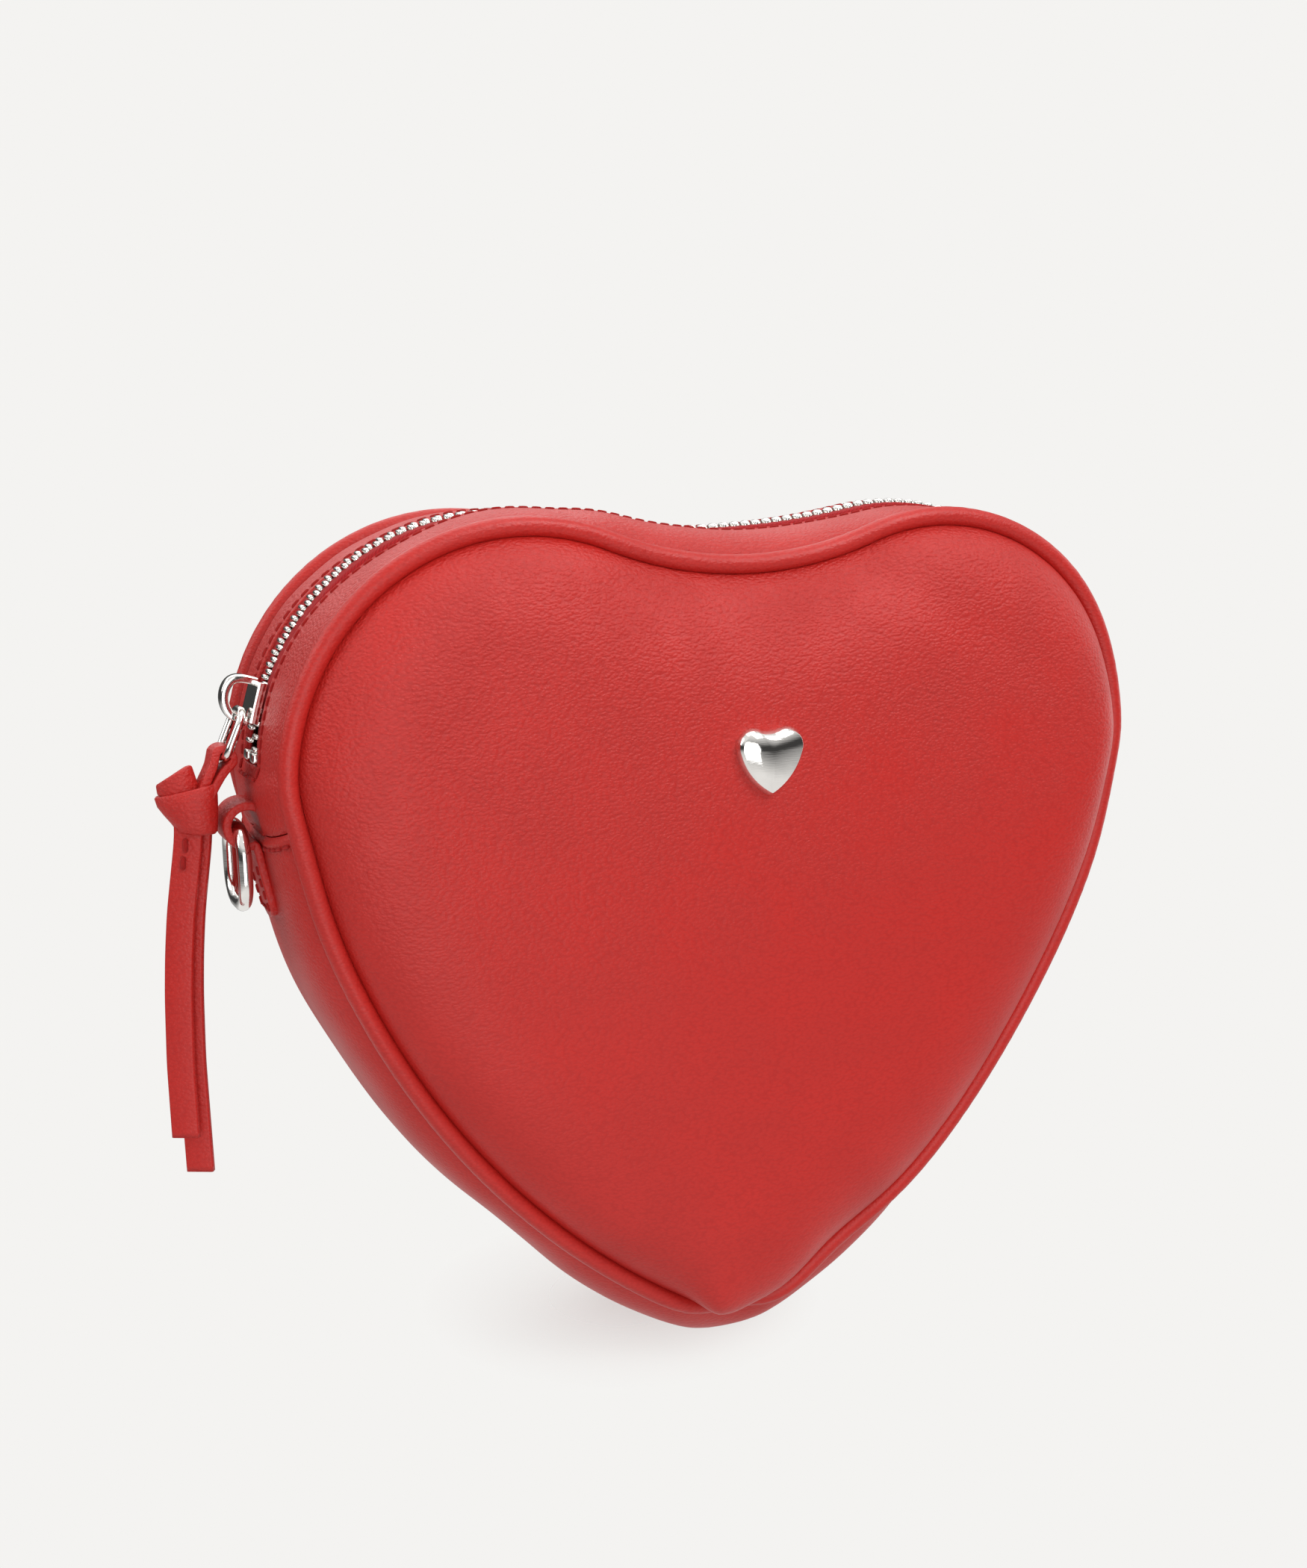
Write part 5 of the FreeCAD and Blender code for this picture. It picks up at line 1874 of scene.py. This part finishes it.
@dataclass
class Stud:
    """Plain heart stud on the front."""

    finishes: Finishes
    scale: float = 0.08
    centre_z: float = 146.2
    base_y: float = 36.9
    thick: float = 3.2
    top_drop: float = 1.0

    def build(self) -> None:
        """Make the stud with a softly crowned face."""
        base, normals = SEAM.sample(4.0)
        rings = []
        for inset, rise in STUD_RINGS:
            flat = (base - normals * inset - [0.0, SEAM.lobe_z]) * self.scale
            rings.append(at_depth(flat + [0.0, self.centre_z], -self.base_y - self.thick * rise))
        top = [0.0, -self.base_y - self.thick, self.centre_z - self.top_drop]
        points = np.vstack([*rings, top])
        count = len(base)
        faces = grid_faces(len(rings), count, False, True)
        faces += fan((len(rings) - 1) * count, count, len(points) - 1)
        faces.append(tuple(range(count)))
        thing = sharpen(outward(add_mesh("stud", points, faces)), 50.0)
        seat(thing, "bag", Slot.RING_METAL, self.finishes.polished, "front_stud")


@dataclass
class LiningBag:
    """Woven lining that hangs inside."""

    finishes: Finishes
    inset: float = 2.2
    half: float = 22.3
    inner_rows: tuple[float, ...] = (-18, -13, -9, -5, 0, 5, 9, 13, 18)
    window_half: float = 5.0
    middle: tuple[float, float] = (0.0, 120.0)
    thick: float = 0.5

    def build(self) -> None:
        """Make the bag, open under the zip."""
        edge, _ = SEAM.inset(self.inset).sample(3.0)
        rows = np.array([-self.half, *self.inner_rows, self.half])
        count = len(edge)
        faces = []
        for face in grid_faces(len(rows), count, False, True):
            high = np.mean([edge[v % count, 1] for v in face])
            y = np.mean([rows[v // count] for v in face])
            if not (high > SEAM.lobe_z and abs(y) < self.window_half):
                faces.append(face)
        points = list(np.vstack([at_depth(edge, y) for y in rows]))
        centre = np.array(self.middle)
        for previous, y in ((0, -self.half), ((len(rows) - 1) * count, self.half)):
            for share in (0.75, 0.5, 0.25):
                first = len(points)
                points += list(at_depth(centre + (edge - centre) * share, y))
                for k in range(count):
                    m = (k + 1) % count
                    faces.append((previous + k, previous + m, first + m, first + k))
                previous = first
            faces += fan(previous, count, len(points))
            points.append(np.array([centre[0], y, centre[1]]))
        thing = outward_from(outward(add_mesh("lining_bag", np.array(points), faces)))
        seat(thicken(thing, self.thick), "bag", Slot.LINING, self.finishes.lining, "lining")


@dataclass(frozen=True)
class Lamp:
    """Large soft lamp, in metres and watts."""

    name: str
    at: Triple
    size: float
    power: float


LAMPS = (
    Lamp("key", (0.5, -0.85, 1.1), 0.7, 10.2),
    Lamp("fill", (-0.4, -1.4, 0.05), 1.0, 8.0),
    Lamp("side", (1.3, 0.3, 0.2), 1.0, 4.0),
    Lamp("top", (0.0, 0.15, 1.35), 0.9, 3.4),
    Lamp("left", (-1.1, 0.25, 0.8), 0.8, 5.0),
    Lamp("rim", (0.0, 0.95, 1.0), 1.2, 4.5),
)


@dataclass
class Studio:
    """Floor, backdrop colour, lights and camera."""

    paper: Triple = (0.905, 0.896, 0.879)
    floor_colour: Triple = (0.82, 0.82, 0.81)
    floor_half: float = 3000.0
    shade_at: Triple = (-0.014, 0.016, 0.0)
    shade_from: float = 0.004
    shade_to: float = 0.05
    shade: float = 0.42
    room: Triple = (1.0, 0.985, 0.97)
    lamp_aim: Triple = (0.0, 0.0, 0.1)
    camera_at: Triple = (-182.1, -395.1, 210.1)
    aim: Triple = (0.0, 0.0, 103.2)
    roll: float = -0.27
    lens: float = 43.68
    shift: tuple[float, float] = (-0.0271, 0.0767)

    def build(self) -> None:
        """Set up everything round the purse."""
        self.floor()
        self.world()
        self.lamps()
        self.camera()
        bpy.context.scene.view_settings.view_transform = "Standard"

    def floor(self) -> None:
        """Floor that shows only as the soft shade under the tip."""
        corners = np.array([(-1, -1, 0), (1, -1, 0), (1, 1, 0), (-1, 1, 0)]) * self.floor_half
        floor = add_mesh("floor", corners, [(0, 1, 2, 3)])
        material, write, shader = new_material("Pale paper")
        away = write.vector("DISTANCE", write.place(), self.shade_at)["Value"]
        write.feed(shader, {
            "Base Color": solid(self.floor_colour),
            "Roughness": 0.95,
            "Specular IOR Level": 0.0,
            "Alpha": write.ramp(away, self.shade_from, self.shade_to, self.shade, 0.0),
        })
        floor.data.materials.append(material)

    def world(self) -> None:
        """Soft light from all round, with the paper's colour behind the purse."""
        world = bpy.data.worlds.new("studio")
        bpy.context.scene.world = world
        world.use_nodes = True
        world.node_tree.nodes.clear()
        write = NodeWriter(world.node_tree)
        rays = write.add("ShaderNodeLightPath").outputs
        axes = write.split(write.add("ShaderNodeTexCoord").outputs["Generated"])
        steep = write.math("ABSOLUTE", axes["Z"])
        soft = write.ramp(steep, 0.0, 0.6, 0.32, 0.46)
        shown = write.ramp(steep, 0.12, 0.55, 0.05, 0.85)
        more = write.math("SUBTRACT", shown, soft)
        glossy = write.math("MULTIPLY", rays["Is Glossy Ray"], more)
        strength = write.math("ADD", soft, glossy)
        seen = write.math("MAXIMUM", rays["Is Camera Ray"], rays["Is Transmission Ray"])
        room, paper = (
            write.add("ShaderNodeBackground", {"Color": solid(colour), "Strength": power})
            for colour, power in ((self.room, strength), (self.paper, 1.0))
        )
        mix = write.add("ShaderNodeMixShader", {0: seen, 1: room.outputs[0], 2: paper.outputs[0]})
        write.add("ShaderNodeOutputWorld", {"Surface": mix.outputs[0]})

    def lamps(self) -> None:
        """A key from above the camera, a low fill, two side lights, a top and a rim light."""
        for lamp in LAMPS:
            data = bpy.data.lights.new(lamp.name, "AREA")
            data.size = lamp.size
            data.energy = lamp.power
            way = Vector(self.lamp_aim) - Vector(lamp.at)
            thing = linked(lamp.name, data)
            thing.location = lamp.at
            thing.rotation_euler = way.to_track_quat("-Z", "Y").to_euler()

    def camera(self) -> None:
        """Camera at the photograph's viewing angle."""
        data = bpy.data.cameras.new("camera")
        data.sensor_fit = "AUTO"
        data.sensor_width = 36.0
        data.lens = self.lens
        data.shift_x, data.shift_y = self.shift
        data.clip_start = 0.01
        camera = linked("camera", data)
        at, aim = Vector(self.camera_at) * MM, Vector(self.aim) * MM
        turn = (aim - at).to_track_quat("-Z", "Y").to_matrix().to_4x4()
        roll = Matrix.Rotation(math.radians(self.roll), 4, "Z")
        camera.matrix_world = Matrix.Translation(at) @ turn @ roll
        bpy.context.scene.camera = camera


def main() -> None:
    """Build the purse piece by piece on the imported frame."""
    logging.basicConfig(level=logging.INFO, format="%(name)s %(message)s")
    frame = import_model()
    finishes = Finishes.make()
    Studio().build()
    for side in Side:
        Panel(side, finishes).build()
        Piping(side, finishes).build()
    Gusset(finishes).build()
    ZipChain(finishes).build()
    SliderAndPull(finishes, frame).build()
    for flank in Flank:
        RingMount(flank, finishes).build()
    Stud(finishes).build()
    LiningBag(finishes).build()
    washer = frame["nodes"]["stud_washer"]
    washer.data.materials.clear()
    washer.data.materials.append(finishes.steel)


if __name__ == "__main__":
    main()
